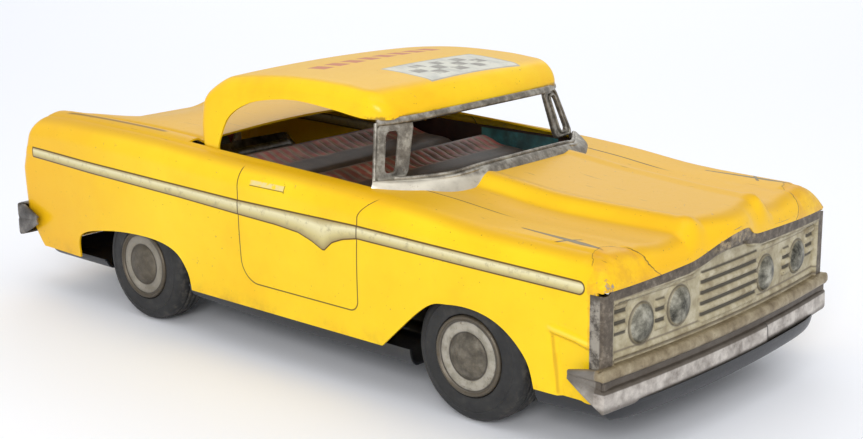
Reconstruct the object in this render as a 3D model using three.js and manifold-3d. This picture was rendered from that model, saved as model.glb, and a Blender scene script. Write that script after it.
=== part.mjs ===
// A friction-drive tin car of the 8-inch size: a pressed and printed tinplate body over a black base plate,
// with an open cabin, rubber tyres on two plain axles, and a geared flywheel motor on the rear axle.
// Millimetres. +X is forward, +Y is the car's left, +Z is up. The origin is on the ground, under the middle.
import * as THREE from "three";
import { mergeVertices } from "three/addons/utils/BufferGeometryUtils.js";
import Module from "manifold-3d";

const wasm = await Module();
wasm.setup();

// Driving dimensions of the whole car.
const CAR_LENGTH = 202.5;
const BODY_HALF_WIDTH = 43.4;
const WHEELBASE = 110.4;
const WHEELBASE_CENTRE_X = 6.25;
const SHEET = 0.7;

// Wheels and axles.
const TYRE_RADIUS = 15;
const TYRE_WIDTH = 10;
const TYRE_SHOULDER = 2.2;
const CAP_RADIUS = 9;
const CAP_RECESS = 1.2;
const CAP_DOME = 1.1;
const BUSH_RADIUS = 6.4;
const AXLE_RADIUS = 1.5;
const AXLE_Z = TYRE_RADIUS;
const TYRE_INSET = 1.6;

// Heights of the body's lines.
const SILL_Z = 12.5;
const GRILLE_TOP_Z = 36;
const NOSE_CREST_Z = 41.6;
const WING_CREST_Z = 42.8;
const COWL_CREST_Z = 44.6;
const BELT_Z = 46.6;
const DECK_CREST_Z = 49;
const HIP_Z = 21;
const TAIL_KNEE_Z = 34;
const TAIL_CREST_Z = 48.3;
const RIDGE_RISE = 1.9;
const RIDGE_Y = 20;
const DECK_CROWN = 1.8;
const SHOULDER_WIDTH = 5;
const SHOULDER_HEIGHT = 5.2;
const UNDER_TUCK = 0.8;
const FRONT_ARCH_TOP_Z = 26.1;
const REAR_ARCH_TOP_Z = 23.4;
const ARCH_CLEARANCE = 3.4;

// Stations along the body.
const COWL_X = 41;
const CABIN_REAR_X = -32.3;
const NOSE_BULGE = 2.6;
const NOSE_ROLL = 4.4;
const TAIL_ROLL = 3;
const BUMPER_DEPTH = 3;
const TAIL_LEAN = 5.8;

// Cabin and roof.
const BELT_LEDGE = SHOULDER_WIDTH + 0.4;
const ROOF_FRONT_X = 28.5;
const EAVE_Z = 60.4;
const ROOF_TOP_Z = 67.4;
const TUMBLEHOME = 4;
const ROOF_CORNER = 6;
const PILLAR_BOTTOM_Z = 44.4;
const FRAME_BAR = 1.6;
const REAR_LIGHT_HALF = 29.5;

// Base plate, bumpers and front panel.
const BASE_Z = 8;
const BASE_FLANGE = 5.4;
const BUMPER_PROUD = 1.4;
const FRONT_BUMPER_TOP_Z = 20.6;
const REAR_BUMPER_TOP_Z = 23.6;
const BUMPER_HEIGHT = 8.2;
const WING_LENGTH = 8;
const LAMP_RADIUS = 4.6;
const LAMP_Z = 28;
const LAMP_YS = [16.8, 30];
const TAIL_PANEL_HEIGHT = 14;
const TAIL_PANEL_LAP = 2;
const TAIL_PANEL_MARGIN = 8;
const TAIL_LAMP_RADIUS = 4;

// Friction motor.
const GEAR_MODULE = 0.65;
const GEAR_WIDTH = 2.6;
const AXLE_GEAR_TEETH = 30;
const IDLER_PINION_TEETH = 12;
const IDLER_GEAR_TEETH = 32;
const FLYWHEEL_PINION_TEETH = 12;
const SHAFT_RADIUS = 1;
const FLYWHEEL_RADIUS = 12;
const FLYWHEEL_WIDTH = 6.5;
const PLATE_GAP = 19;
const PLATE_THICKNESS = 1;
const IDLER_BEARING = THREE.MathUtils.degToRad(118);
const FLYWHEEL_BEARING = THREE.MathUtils.degToRad(158);

// Fits.
const FIT_GAP = 0.3;
const RUNNING_GAP = 0.09;
const SEAT_GAP = 0.05;
const TOOTH_BACKLASH = 0.2;

const FRONT_AXLE_X = WHEELBASE_CENTRE_X + WHEELBASE / 2;
const REAR_AXLE_X = WHEELBASE_CENTRE_X - WHEELBASE / 2;
const NOSE_X = CAR_LENGTH / 2 - NOSE_BULGE - BUMPER_PROUD;
const TAIL_X = -CAR_LENGTH / 2 + TAIL_LEAN + BUMPER_PROUD;
const ROOF_REAR_X = CABIN_REAR_X + FIT_GAP;
const OPENING_HALF = BODY_HALF_WIDTH - BELT_LEDGE;
const TYRE_FACE_Y = BODY_HALF_WIDTH - TYRE_INSET;
const ARCH_RADIUS = TYRE_RADIUS + ARCH_CLEARANCE;
const TAIL_PANEL_HALF = BODY_HALF_WIDTH - TAIL_PANEL_MARGIN;
const FLOOR_TOP_Z = BASE_Z + SHEET;

const paint = { color: 0xf2c414, roughness: 0.3, metalness: 0 };
const bareTin = { color: 0x8d877b, roughness: 0.45, metalness: 0.8 };
const creamTin = { color: 0xb7ad8c, roughness: 0.4, metalness: 0.5 };
const brightTin = { color: 0xb9b4a8, roughness: 0.3, metalness: 0.9 };
const blackPaint = { color: 0x17171a, roughness: 0.35, metalness: 0 };
const rubber = { color: 0x1b1b1c, roughness: 0.75, metalness: 0 };
const steel = { color: 0x9a9a98, roughness: 0.35, metalness: 1 };
const brass = { color: 0xb08d3e, roughness: 0.35, metalness: 1 };
const seatPrint = { color: 0x84766a, roughness: 0.4, metalness: 0 };

// A geometry as a solid, with its faces pointing out.
function solid(geometry) {
  const bare = geometry.clone();
  bare.deleteAttribute("normal");
  bare.deleteAttribute("uv");
  const merged = mergeVertices(bare, 1e-4);
  const vertProperties = new Float32Array(merged.attributes.position.array);
  const triVerts = new Uint32Array(merged.index.array);
  const made = new wasm.Manifold(new wasm.Mesh({ numProp: 3, vertProperties, triVerts }));
  if (made.volume() > 0) return made;
  triVerts.reverse();
  return new wasm.Manifold(new wasm.Mesh({ numProp: 3, vertProperties, triVerts }));
}

function geometryOf(made) {
  const { vertProperties, triVerts } = made.getMesh();
  return new THREE.BufferGeometry()
    .setAttribute("position", new THREE.BufferAttribute(vertProperties, 3))
    .setIndex(new THREE.BufferAttribute(triVerts, 1));
}

// A smooth curve through [place, value] keys, level at its two ends.
function through(keys) {
  const slope = keys.map((key, i) =>
    i === 0 || i === keys.length - 1
      ? 0
      : (keys[i + 1][1] - keys[i - 1][1]) / (keys[i + 1][0] - keys[i - 1][0]),
  );
  return (at) => {
    if (at <= keys[0][0]) return keys[0][1];
    if (at >= keys.at(-1)[0]) return keys.at(-1)[1];
    const i = keys.findIndex((key) => key[0] > at) - 1;
    const span = keys[i + 1][0] - keys[i][0];
    const t = (at - keys[i][0]) / span;
    const rise = keys[i + 1][1] - keys[i][1];
    const bend = slope[i] * span * (1 - t) - slope[i + 1] * span * t;
    return keys[i][1] + rise * t * t * (3 - 2 * t) + t * (1 - t) * bend;
  };
}

// A closed tube of rings, each a list of points, capped at its first and last ring. The first few points of a
// mirrored ring are joined straight across in the cap, as its levels, and the rest of the cap is one flat fill.
function loft(rings, levels = 0) {
  const count = rings[0].length;
  const positions = rings.flat().flat();
  const index = [];
  for (let r = 0; r < rings.length - 1; r++) {
    for (let k = 0; k < count; k++) {
      const a = r * count + k;
      const b = r * count + ((k + 1) % count);
      index.push(a, b, a + count, b, b + count, a + count);
    }
  }
  const caps = [];
  for (let k = 0; k < levels; k++) {
    caps.push([k, k + 1, count - 2 - k], [k, count - 2 - k, count - 1 - k]);
  }
  for (const [ring, turn] of [[0, -1], [rings.length - 1, 1]]) {
    const flat = rings[ring].slice(levels, count - levels).map(([, y, z]) => new THREE.Vector2(y, z));
    const fill = THREE.ShapeUtils.triangulateShape(flat, []).map((face) => face.map((k) => k + levels));
    for (const face of [...caps, ...fill]) {
      const corners = face.map((k) => ring * count + k);
      index.push(...(turn > 0 ? corners : corners.reverse()));
    }
  }
  return new THREE.BufferGeometry()
    .setAttribute("position", new THREE.Float32BufferAttribute(positions, 3))
    .setIndex(index);
}

// A flat outline of [x, z] points carried across the car from y0 to y1.
function across(outline, y0, y1, holes = []) {
  const shape = new THREE.Shape(outline.map(([x, z]) => new THREE.Vector2(x, z)));
  shape.holes = holes;
  return new THREE.ExtrudeGeometry(shape, { depth: y1 - y0, bevelEnabled: false })
    .rotateX(Math.PI / 2)
    .translate(0, y1, 0);
}

// A plan outline of [x, y] points raised from z0 to z1.
function raised(outline, z0, z1) {
  const shape = new THREE.Shape(outline.map(([x, y]) => new THREE.Vector2(x, y)));
  return new THREE.ExtrudeGeometry(shape, { depth: z1 - z0, bevelEnabled: false }).translate(0, 0, z0);
}

function box(x0, x1, y0, y1, z0, z1) {
  return new THREE.BoxGeometry(x1 - x0, y1 - y0, z1 - z0).translate(
    (x0 + x1) / 2,
    (y0 + y1) / 2,
    (z0 + z1) / 2,
  );
}

function rod(radius, y0, y1, sides = 20) {
  return new THREE.CylinderGeometry(radius, radius, y1 - y0, sides).translate(0, (y0 + y1) / 2, 0);
}

// A turned piece about the Y axis, from [radius, y] points.
function turned(profile, sides = 30) {
  return new THREE.LatheGeometry(profile.map(([r, y]) => new THREE.Vector2(r, y)), sides);
}

function roundHole(x, z, radius, sides = 24) {
  const points = [];
  for (let i = 0; i < sides; i++) {
    const a = (2 * Math.PI * i) / sides;
    points.push(new THREE.Vector2(x + radius * Math.cos(a), z + radius * Math.sin(a)));
  }
  return new THREE.Path(points);
}

function mirrored(half) {
  return [...half, ...half.slice(0, -1).reverse().map(([y, z]) => [-y, z])];
}

const car = new THREE.Group();

function piece(name, geometry, look, parent = car) {
  const mesh = new THREE.Mesh(geometry, new THREE.MeshStandardMaterial(look));
  mesh.name = name;
  parent.add(mesh);
  return mesh;
}

// Body: one pressed sheet, lofted outside and inside, then cut for the wheels, cabin, grille and tail.
const crestHeight = through([
  [TAIL_X, TAIL_CREST_Z],
  [TAIL_X + 14, DECK_CREST_Z],
  [CABIN_REAR_X - 10.7, DECK_CREST_Z],
  [CABIN_REAR_X + 17.3, BELT_Z],
  [COWL_X - 14, BELT_Z - 0.8],
  [COWL_X + 6, COWL_CREST_Z],
  [FRONT_AXLE_X + 4, WING_CREST_Z],
  [NOSE_X, NOSE_CREST_Z],
]);
const hoodShare = through([[CABIN_REAR_X, 0], [COWL_X - 10, 1]]);
const halfWidth = through([
  [TAIL_X, BODY_HALF_WIDTH - 1],
  [TAIL_X + 30, BODY_HALF_WIDTH],
  [FRONT_AXLE_X, BODY_HALF_WIDTH],
  [NOSE_X, BODY_HALF_WIDTH - 0.5],
]);
const noseRamp = through([[NOSE_X - 24, 0], [NOSE_X, 1]]);
const tailRamp = through([[TAIL_X, 1], [TAIL_X + 22, 0]]);
// How far the tail leans out, from 0 to 1: flat from the bumper to the knee, and straight in above and below.
function tailLean(z) {
  if (z > TAIL_KNEE_Z) return Math.max(0, (TAIL_CREST_Z - z) / (TAIL_CREST_Z - TAIL_KNEE_Z));
  return Math.max(0, Math.min(1, (z - SILL_Z) / (HIP_Z - SILL_Z)));
}

// Height of the top sheet over its crest line, at the distance y from the middle.
function topRise(x, y, inner) {
  const hood = through([
    [0, 0.9],
    [RIDGE_Y - 5, 1],
    [RIDGE_Y, RIDGE_RISE],
    [RIDGE_Y + 5, 0.6],
    [inner, 0],
  ]);
  const deck = through([
    [0, DECK_CROWN],
    [inner - 9, 0.5],
    [inner - 4.5, -0.2],
    [inner - 2, 0.5],
    [inner, 0],
  ]);
  const share = hoodShare(x);
  return share * hood(y) + (1 - share) * deck(y);
}

function rollDrop(x, end, radius) {
  const into = Math.max(0, radius - Math.abs(end - x));
  return radius - Math.sqrt(radius * radius - into * into);
}

function bodyRing(x, inset, bottom) {
  const w = halfWidth(x) - inset;
  const crest = crestHeight(x) - inset;
  const inner = w - SHOULDER_WIDTH;
  const drop = rollDrop(x, NOSE_X - inset, NOSE_ROLL) + rollDrop(x, TAIL_X + inset, TAIL_ROLL);
  const side = [
    [w - UNDER_TUCK, bottom],
    [w - UNDER_TUCK, SILL_Z],
    [w - 0.2, HIP_Z],
    [w, TAIL_KNEE_Z],
    [w, crest - SHOULDER_HEIGHT],
  ];
  const shoulder = [22, 45, 68, 90].map((degrees) => {
    const a = THREE.MathUtils.degToRad(degrees);
    return [
      inner + SHOULDER_WIDTH * Math.cos(a),
      crest - SHOULDER_HEIGHT + (SHOULDER_HEIGHT - drop) * Math.sin(a),
    ];
  });
  const tops = [inner - 2, inner - 4.5, inner - 9, RIDGE_Y + 3, RIDGE_Y, RIDGE_Y - 4, 0];
  const top = tops.map((y) => [y, crest + topRise(x, y, inner) - drop]);
  return mirrored([...side, ...shoulder, ...top]).map(([y, z]) => {
    const bulge = NOSE_BULGE * noseRamp(x) * (1 - (y / BODY_HALF_WIDTH) ** 2);
    return [x + bulge - TAIL_LEAN * tailRamp(x) * tailLean(z), y, z];
  });
}

// The side's points below the shoulder, which set the levels of the nose and tail.
const SIDE_LEVELS = 4;

function bodyBlock(inset, bottom) {
  const stations = [];
  for (const step of [0, 0.3, 1]) stations.push(TAIL_X + inset + TAIL_ROLL * step);
  for (let i = 1; i < 14; i++) {
    stations.push(THREE.MathUtils.lerp(TAIL_X + TAIL_ROLL, NOSE_X - NOSE_ROLL, i / 14));
  }
  for (const step of [1, 0.6, 0.2, 0]) stations.push(NOSE_X - inset - NOSE_ROLL * step);
  return solid(loft(stations.sort((a, b) => a - b).map((x) => bodyRing(x, inset, bottom)), SIDE_LEVELS));
}

// A wheel arch: a flat-topped arc that ends in straight legs.
function archOutline(x, top, reach) {
  const points = [];
  for (let i = 0; i <= 10; i++) {
    const a = Math.PI * (1 - i / 10);
    const flat = Math.max(-1, Math.min(1, 1.18 * Math.cos(a)));
    points.push([x + reach * flat, SILL_Z + (top - SILL_Z) * Math.sin(a) ** 0.7]);
  }
  return [[x - reach, 0], ...points, [x + reach, 0]];
}

const cabinSide = [
  [CABIN_REAR_X, OPENING_HALF],
  [COWL_X - 12, OPENING_HALF],
  [COWL_X - 3, OPENING_HALF - 5],
  [COWL_X, OPENING_HALF - 14],
];
const cabinPlan = [...cabinSide, ...cabinSide.map(([x, y]) => [x, -y]).reverse()];

// Past the sides of the body, for a cut that goes right across it.
const wide = BODY_HALF_WIDTH + 5;
const tailLow = TAIL_KNEE_Z - TAIL_PANEL_HEIGHT / 2;
const tailHigh = TAIL_KNEE_Z + TAIL_PANEL_HEIGHT / 2;
let shell = bodyBlock(0, SILL_Z - 1).subtract(bodyBlock(SHEET, SILL_Z - 5));
for (const [x, top] of [[FRONT_AXLE_X, FRONT_ARCH_TOP_Z], [REAR_AXLE_X, REAR_ARCH_TOP_Z]]) {
  shell = shell.subtract(solid(across(archOutline(x, top, ARCH_RADIUS), -wide, wide)));
}
shell = shell
  .subtract(solid(box(-CAR_LENGTH, CAR_LENGTH, -wide, wide, 0, SILL_Z)))
  .subtract(solid(raised(cabinPlan, BELT_Z - 8, ROOF_TOP_Z)))
  .subtract(solid(box(NOSE_X - 1.2, CAR_LENGTH, -wide, wide, 0, GRILLE_TOP_Z)))
  .subtract(solid(box(-CAR_LENGTH, TAIL_X - 1, -TAIL_PANEL_HALF, TAIL_PANEL_HALF, tailLow, tailHigh)));
piece("body_shell", geometryOf(shell), paint);

// Roof: a crowned cap on two rear pillars, whose feet go down inside the belt opening.
const roofTop = through([
  [ROOF_REAR_X, ROOF_TOP_Z - 6.4],
  [ROOF_REAR_X + 10, ROOF_TOP_Z - 2.6],
  [ROOF_REAR_X + 30, ROOF_TOP_Z],
  [ROOF_FRONT_X - 12, ROOF_TOP_Z - 0.6],
  [ROOF_FRONT_X, ROOF_TOP_Z - 3.2],
]);

function roofRing(x, inset, bottom) {
  const foot = OPENING_HALF - FIT_GAP - inset;
  const eave = foot - TUMBLEHOME;
  const top = roofTop(x) - inset;
  const side = [
    [foot, bottom],
    [foot, BELT_Z + 1],
    [eave + 0.6, EAVE_Z - 2],
  ];
  const corner = [0, 30, 60, 90].map((degrees) => {
    const a = THREE.MathUtils.degToRad(degrees);
    const rise = top - 0.8 - EAVE_Z;
    return [eave - ROOF_CORNER * (1 - Math.cos(a)), EAVE_Z + rise * Math.sin(a)];
  });
  const crown = [0.66, 0.33, 0].map((share) => {
    const y = (eave - ROOF_CORNER) * share;
    return [y, top - 0.8 * share ** 2];
  });
  return mirrored([...side, ...corner, ...crown]).map(([y, z]) => [x, y, z]);
}

function roofBlock(inset, bottom) {
  const rings = [];
  for (let i = 0; i <= 10; i++) {
    const x = THREE.MathUtils.lerp(ROOF_REAR_X + inset, ROOF_FRONT_X - inset, i / 10);
    rings.push(roofRing(x, inset, bottom));
  }
  return solid(loft(rings));
}

const sideWindow = [
  [CABIN_REAR_X + 10.1, PILLAR_BOTTOM_Z - 2],
  [CABIN_REAR_X + 9.9, BELT_Z + 5],
  [CABIN_REAR_X + 11.3, BELT_Z + 9],
  [CABIN_REAR_X + 15.3, BELT_Z + 12.6],
  [CABIN_REAR_X + 22.3, BELT_Z + 14.6],
  [CABIN_REAR_X + 33.3, EAVE_Z + 1.6],
  [ROOF_FRONT_X - 14, EAVE_Z + 1],
  [ROOF_FRONT_X + 5, EAVE_Z],
  [ROOF_FRONT_X + 5, PILLAR_BOTTOM_Z - 2],
];
const rearLight = box(
  ROOF_REAR_X - 5,
  CABIN_REAR_X + 9.3,
  -REAR_LIGHT_HALF,
  REAR_LIGHT_HALF,
  PILLAR_BOTTOM_Z - 2,
  BELT_Z + 11,
);
const roof = roofBlock(0, PILLAR_BOTTOM_Z)
  .subtract(roofBlock(SHEET, PILLAR_BOTTOM_Z - 3))
  .subtract(solid(across(sideWindow, -wide, wide)))
  .subtract(solid(rearLight))
  .subtract(solid(box(-CAR_LENGTH, CABIN_REAR_X + 1.6, -wide, wide, 0, BELT_Z + 4.5)))
  .subtract(solid(box(ROOF_FRONT_X - 4, CAR_LENGTH, -wide, wide, 0, EAVE_Z)));
piece("roof_panel", geometryOf(roof), paint);

// Windshield frame: one bent pressing with a base rail, a top rail, two pillars and two vent posts.
const frameBase = [
  [COWL_X - 10, OPENING_HALF - 0.4],
  [COWL_X - 5, OPENING_HALF - 2.4],
  [COWL_X - 0.6, OPENING_HALF - 8],
  [COWL_X + 1.4, OPENING_HALF - 17],
  [COWL_X + 2.2, 0],
];
const frameTop = [
  [ROOF_FRONT_X - 3, OPENING_HALF - TUMBLEHOME - 3.2],
  [ROOF_FRONT_X - 1.6, OPENING_HALF - TUMBLEHOME - 6],
  [ROOF_FRONT_X - 1.2, OPENING_HALF - TUMBLEHOME - 11],
  [ROOF_FRONT_X - 1.2, 12],
  [ROOF_FRONT_X - 1.2, 0],
];
const FRAME_BASE_Z = BELT_Z + 1.4;
const FRAME_TOP_Z = EAVE_Z - 1.3;

function bar(from, to, width) {
  const path = new THREE.LineCurve3(new THREE.Vector3(...from), new THREE.Vector3(...to));
  const half = width / 2;
  const section = new THREE.Shape([
    new THREE.Vector2(-half, -half),
    new THREE.Vector2(half, -half),
    new THREE.Vector2(half, half),
    new THREE.Vector2(-half, half),
  ]);
  return solid(new THREE.ExtrudeGeometry(section, { steps: 1, extrudePath: path }));
}

function rail(half, z) {
  const points = [...half, ...half.slice(0, -1).reverse().map(([x, y]) => [x, -y])];
  const outer = points.map(([x, y]) => [x, y]);
  const inner = points.map(([x, y]) => [x - FRAME_BAR, y * (1 - FRAME_BAR / OPENING_HALF)]);
  return solid(raised([...outer, ...inner.reverse()], z - FRAME_BAR / 2, z + FRAME_BAR / 2));
}

let frame = rail(frameBase, FRAME_BASE_Z).add(rail(frameTop, FRAME_TOP_Z));
for (const side of [1, -1]) {
  for (const [foot, head] of [[0, 0], [2, 2]]) {
    const [bx, by] = frameBase[foot];
    const [tx, ty] = frameTop[head];
    const setIn = FRAME_BAR * 0.6;
    frame = frame.add(
      bar(
        [bx - setIn, side * (by - setIn), FRAME_BASE_Z],
        [tx - setIn, side * (ty - setIn), FRAME_TOP_Z],
        FRAME_BAR,
      ),
    );
  }
}
piece("windshield_frame", geometryOf(frame), bareTin);

// A closed plate that follows face(y, z), the place of its outer surface, with its back at depth behind.
function facePlate(face, depth, halfY, z0, z1, columns, rows) {
  const rings = [];
  for (let i = 0; i <= columns; i++) {
    const y = THREE.MathUtils.lerp(-halfY, halfY, i / columns);
    const ring = [];
    for (let j = 0; j <= rows; j++) {
      const z = THREE.MathUtils.lerp(z0, z1, j / rows);
      ring.push([face(y, z), y, z]);
    }
    for (let j = rows; j >= 0; j--) {
      const z = THREE.MathUtils.lerp(z0, z1, j / rows);
      ring.push([face(y, z) - depth, y, z]);
    }
    rings.push(ring);
  }
  return solid(sideLoft(rings));
}

// The same closed tube as loft makes, for rings that lie in planes of constant y.
function sideLoft(rings) {
  const turnedRings = rings.map((ring) => ring.map(([x, y, z]) => [y, x, z]));
  const made = loft(turnedRings);
  const at = made.attributes.position;
  for (let i = 0; i < at.count; i++) at.setXYZ(i, at.getY(i), at.getX(i), at.getZ(i));
  return made;
}

const noseFace = (y) => NOSE_X + NOSE_BULGE * (1 - (y / BODY_HALF_WIDTH) ** 2);

// Grille: an embossed sheet with a raised rim, four lamp domes and the bars between them.
const GRILLE_HALF = BODY_HALF_WIDTH - 1;
const GRILLE_BOTTOM_Z = FRONT_BUMPER_TOP_Z - 1.9;
const grilleFace = (y) => noseFace(y) - 0.5;
const grilleTop = GRILLE_TOP_Z - FIT_GAP;
let grille = facePlate(grilleFace, SHEET, GRILLE_HALF, GRILLE_BOTTOM_Z, grilleTop, 8, 1);
const rimFace = (y) => noseFace(y) + 0.1;
const RIM = 2;
const rimDepth = SHEET + 0.6;
for (const [z0, z1] of [[GRILLE_BOTTOM_Z, FRONT_BUMPER_TOP_Z], [grilleTop - RIM, grilleTop]]) {
  grille = grille.add(facePlate(rimFace, rimDepth, GRILLE_HALF, z0, z1, 8, 1));
}
for (const side of [1, -1]) {
  const rimY = side * (GRILLE_HALF - RIM / 2);
  const rimX = rimFace(rimY);
  const upright = box(rimX - rimDepth, rimX, rimY - RIM / 2, rimY + RIM / 2, GRILLE_BOTTOM_Z, grilleTop);
  grille = grille.add(solid(upright));
  for (const y of LAMP_YS) {
    const dome = new THREE.SphereGeometry(LAMP_RADIUS, 12, 8)
      .scale(0.24, 1, 1)
      .translate(grilleFace(y) - 0.2, side * y, LAMP_Z);
    grille = grille.add(solid(dome));
  }
}
const BAR_PITCH = 2.2;
const BAR_PROUD = 0.45;
const barHalf = LAMP_YS[0] - LAMP_RADIUS - 1;
for (let i = -2; i <= 2; i++) {
  const z = LAMP_Z + i * BAR_PITCH;
  grille = grille.add(
    facePlate((y) => grilleFace(y) + BAR_PROUD, SHEET, barHalf, z - BAR_PROUD, z + BAR_PROUD, 4, 1),
  );
}
piece("grille_panel", geometryOf(grille), creamTin);

// Front bumper: a channel across the nose with a swept wing at each end.
const bumperHalf = BODY_HALF_WIDTH + BUMPER_PROUD;
const bumperFace = (y) => noseFace(y * (BODY_HALF_WIDTH / bumperHalf)) + BUMPER_PROUD;
const frontBumperBottom = FRONT_BUMPER_TOP_Z - BUMPER_HEIGHT;

// A strip of the bumper, set back from its face, between two heights.
function bumperStrip(setBack, z0, z1) {
  return facePlate((y) => bumperFace(y) - setBack, SHEET, bumperHalf, z0, z1, 8, 1);
}

// The wide lower band, the groove over it, and the ledge along the top.
let frontBumper = bumperStrip(0, frontBumperBottom, FRONT_BUMPER_TOP_Z - 3.4)
  .add(bumperStrip(0.8, FRONT_BUMPER_TOP_Z - 3.8, FRONT_BUMPER_TOP_Z - 2.2))
  .add(bumperStrip(0.3, FRONT_BUMPER_TOP_Z - 2.4, FRONT_BUMPER_TOP_Z));
const cornerX = bumperFace(bumperHalf);
for (const side of [1, -1]) {
  const outer = side * bumperHalf;
  const inside = side * (bumperHalf - SHEET);
  const wing = [
    [cornerX, frontBumperBottom],
    [cornerX, FRONT_BUMPER_TOP_Z],
    [cornerX - WING_LENGTH, FRONT_BUMPER_TOP_Z - 1.6],
    [cornerX - WING_LENGTH + 3, frontBumperBottom + 1.5],
  ];
  frontBumper = frontBumper.add(solid(across(wing, Math.min(outer, inside), Math.max(outer, inside))));
}
piece("front_bumper", geometryOf(frontBumper), brightTin);

// Tail panel behind the opening in the body's back, with two lamp domes each side.
const tailFace = (z) => TAIL_X - TAIL_LEAN * tailLean(z);
const tailBack = (y, z) => tailFace(z) + SHEET + FIT_GAP + SHEET;
let tail = facePlate(
  tailBack,
  SHEET,
  TAIL_PANEL_HALF + TAIL_PANEL_LAP,
  tailLow - TAIL_PANEL_LAP,
  tailHigh + TAIL_PANEL_LAP,
  4,
  2,
);
for (const side of [1, -1]) {
  for (const y of [TAIL_PANEL_HALF - 6, TAIL_PANEL_HALF - 16]) {
    const dome = new THREE.SphereGeometry(TAIL_LAMP_RADIUS, 12, 8)
      .scale(0.4, 1, 1)
      .translate(tailFace(TAIL_KNEE_Z) + SHEET + FIT_GAP, side * y, TAIL_KNEE_Z + 0.5);
    tail = tail.add(solid(dome));
  }
}
piece("tail_panel", geometryOf(tail), creamTin);

// Rear bumper: a plain bent strip with short wings.
const rearBumperBottom = REAR_BUMPER_TOP_Z - BUMPER_HEIGHT;
const rearFace = (y) => -CAR_LENGTH / 2 + (BUMPER_PROUD - SHEET - FIT_GAP) * Math.abs(y / bumperHalf) ** 4;
let rearBumper = facePlate(
  (y) => rearFace(y) + SHEET,
  SHEET,
  bumperHalf,
  rearBumperBottom,
  REAR_BUMPER_TOP_Z,
  8,
  1,
);
const rearCornerX = rearFace(bumperHalf);
for (const side of [1, -1]) {
  const outer = side * bumperHalf;
  const inside = side * (bumperHalf - SHEET);
  const wing = [
    [rearCornerX, rearBumperBottom],
    [rearCornerX, REAR_BUMPER_TOP_Z],
    [rearCornerX + WING_LENGTH + 1, REAR_BUMPER_TOP_Z - 2.6],
    [rearCornerX + WING_LENGTH, rearBumperBottom + 0.4],
  ];
  rearBumper = rearBumper.add(solid(across(wing, Math.min(outer, inside), Math.max(outer, inside))));
}
piece("rear_bumper", geometryOf(rearBumper), bareTin);

// Base plate: a black tray with upturned edges, notched round the wheels and open under the motor.
const NOTCH_DEPTH = TYRE_WIDTH + TYRE_INSET + 1.6;
const baseFront = NOSE_X - SHEET - 1.4;
const baseRear = TAIL_X + SHEET + 1.2;

function basePlan(inset) {
  const half = (x) => halfWidth(x) - UNDER_TUCK - SHEET - FIT_GAP - inset;
  const notch = BODY_HALF_WIDTH - NOTCH_DEPTH - inset;
  const reach = ARCH_RADIUS + inset;
  const bend = (baseRear + REAR_AXLE_X - ARCH_RADIUS) / 2;
  const side = [[baseRear + inset, half(TAIL_X)], [bend, half(bend - 2)]];
  for (const x of [REAR_AXLE_X, FRONT_AXLE_X]) {
    side.push([x - reach, half(x - reach)], [x - reach, notch]);
    side.push([x + reach, notch], [x + reach, half(NOSE_X)]);
  }
  side.push([baseFront - inset, half(NOSE_X)]);
  return [...side, ...side.map(([x, y]) => [x, -y]).reverse()];
}

const motorWindow = box(
  REAR_AXLE_X - 13,
  REAR_AXLE_X + 13,
  -PLATE_GAP / 2 + 1,
  PLATE_GAP / 2 - 1,
  0,
  FLOOR_TOP_Z + 1,
);
const base = solid(raised(basePlan(0), BASE_Z, BASE_Z + BASE_FLANGE))
  .subtract(solid(raised(basePlan(SHEET), FLOOR_TOP_Z, BASE_Z + BASE_FLANGE + 1)))
  .subtract(solid(motorWindow));
piece("base_plate", geometryOf(base), blackPaint);

// Interior: one printed sheet, pressed into a rear bench, a footwell and a front bench.
const SEAT_Z = 41;
const FOOTWELL_Z = 38;
const INTERIOR_HALF = BODY_HALF_WIDTH - SHEET - 1;
const BENCH_HALF = OPENING_HALF - 2.5;
const rearBench = CABIN_REAR_X + 5;
const frontBench = (CABIN_REAR_X + COWL_X) / 2 - 6;
const benchLine = [
  [CABIN_REAR_X - 3, FOOTWELL_Z + 2],
  [rearBench - 2, FOOTWELL_Z + 6],
  [rearBench + 2, FOOTWELL_Z + 7],
  [rearBench + 5, SEAT_Z + 0.6],
  [rearBench + 16, SEAT_Z],
  [rearBench + 18, FOOTWELL_Z],
  [frontBench, FOOTWELL_Z],
  [frontBench + 2, FOOTWELL_Z + 6],
  [frontBench + 5, FOOTWELL_Z + 6],
  [frontBench + 8, SEAT_Z + 0.4],
  [frontBench + 18, SEAT_Z],
  [frontBench + 20, FOOTWELL_Z],
  [COWL_X + 4, FOOTWELL_Z + 2],
];
const benchOutline = [
  ...benchLine,
  ...[...benchLine].reverse().map(([x, z]) => [x, z - SHEET]),
];
const flatLine = [
  [CABIN_REAR_X - 3, FOOTWELL_Z],
  [COWL_X + 4, FOOTWELL_Z],
  [COWL_X + 4, FOOTWELL_Z - SHEET],
  [CABIN_REAR_X - 3, FOOTWELL_Z - SHEET],
];
const benchSide = [...benchLine, [COWL_X + 4, FOOTWELL_Z - SHEET], [CABIN_REAR_X - 3, FOOTWELL_Z - SHEET]];
let interior = solid(across(benchOutline, -BENCH_HALF, BENCH_HALF));
for (const [inner, outer] of [[BENCH_HALF, INTERIOR_HALF], [-BENCH_HALF, -INTERIOR_HALF]]) {
  const wall = inner - Math.sign(inner) * SHEET;
  interior = interior
    .add(solid(across(benchSide, Math.min(wall, inner), Math.max(wall, inner))))
    .add(solid(across(flatLine, Math.min(wall, outer), Math.max(wall, outer))));
}
piece("interior_pan", geometryOf(interior), seatPrint);

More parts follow.
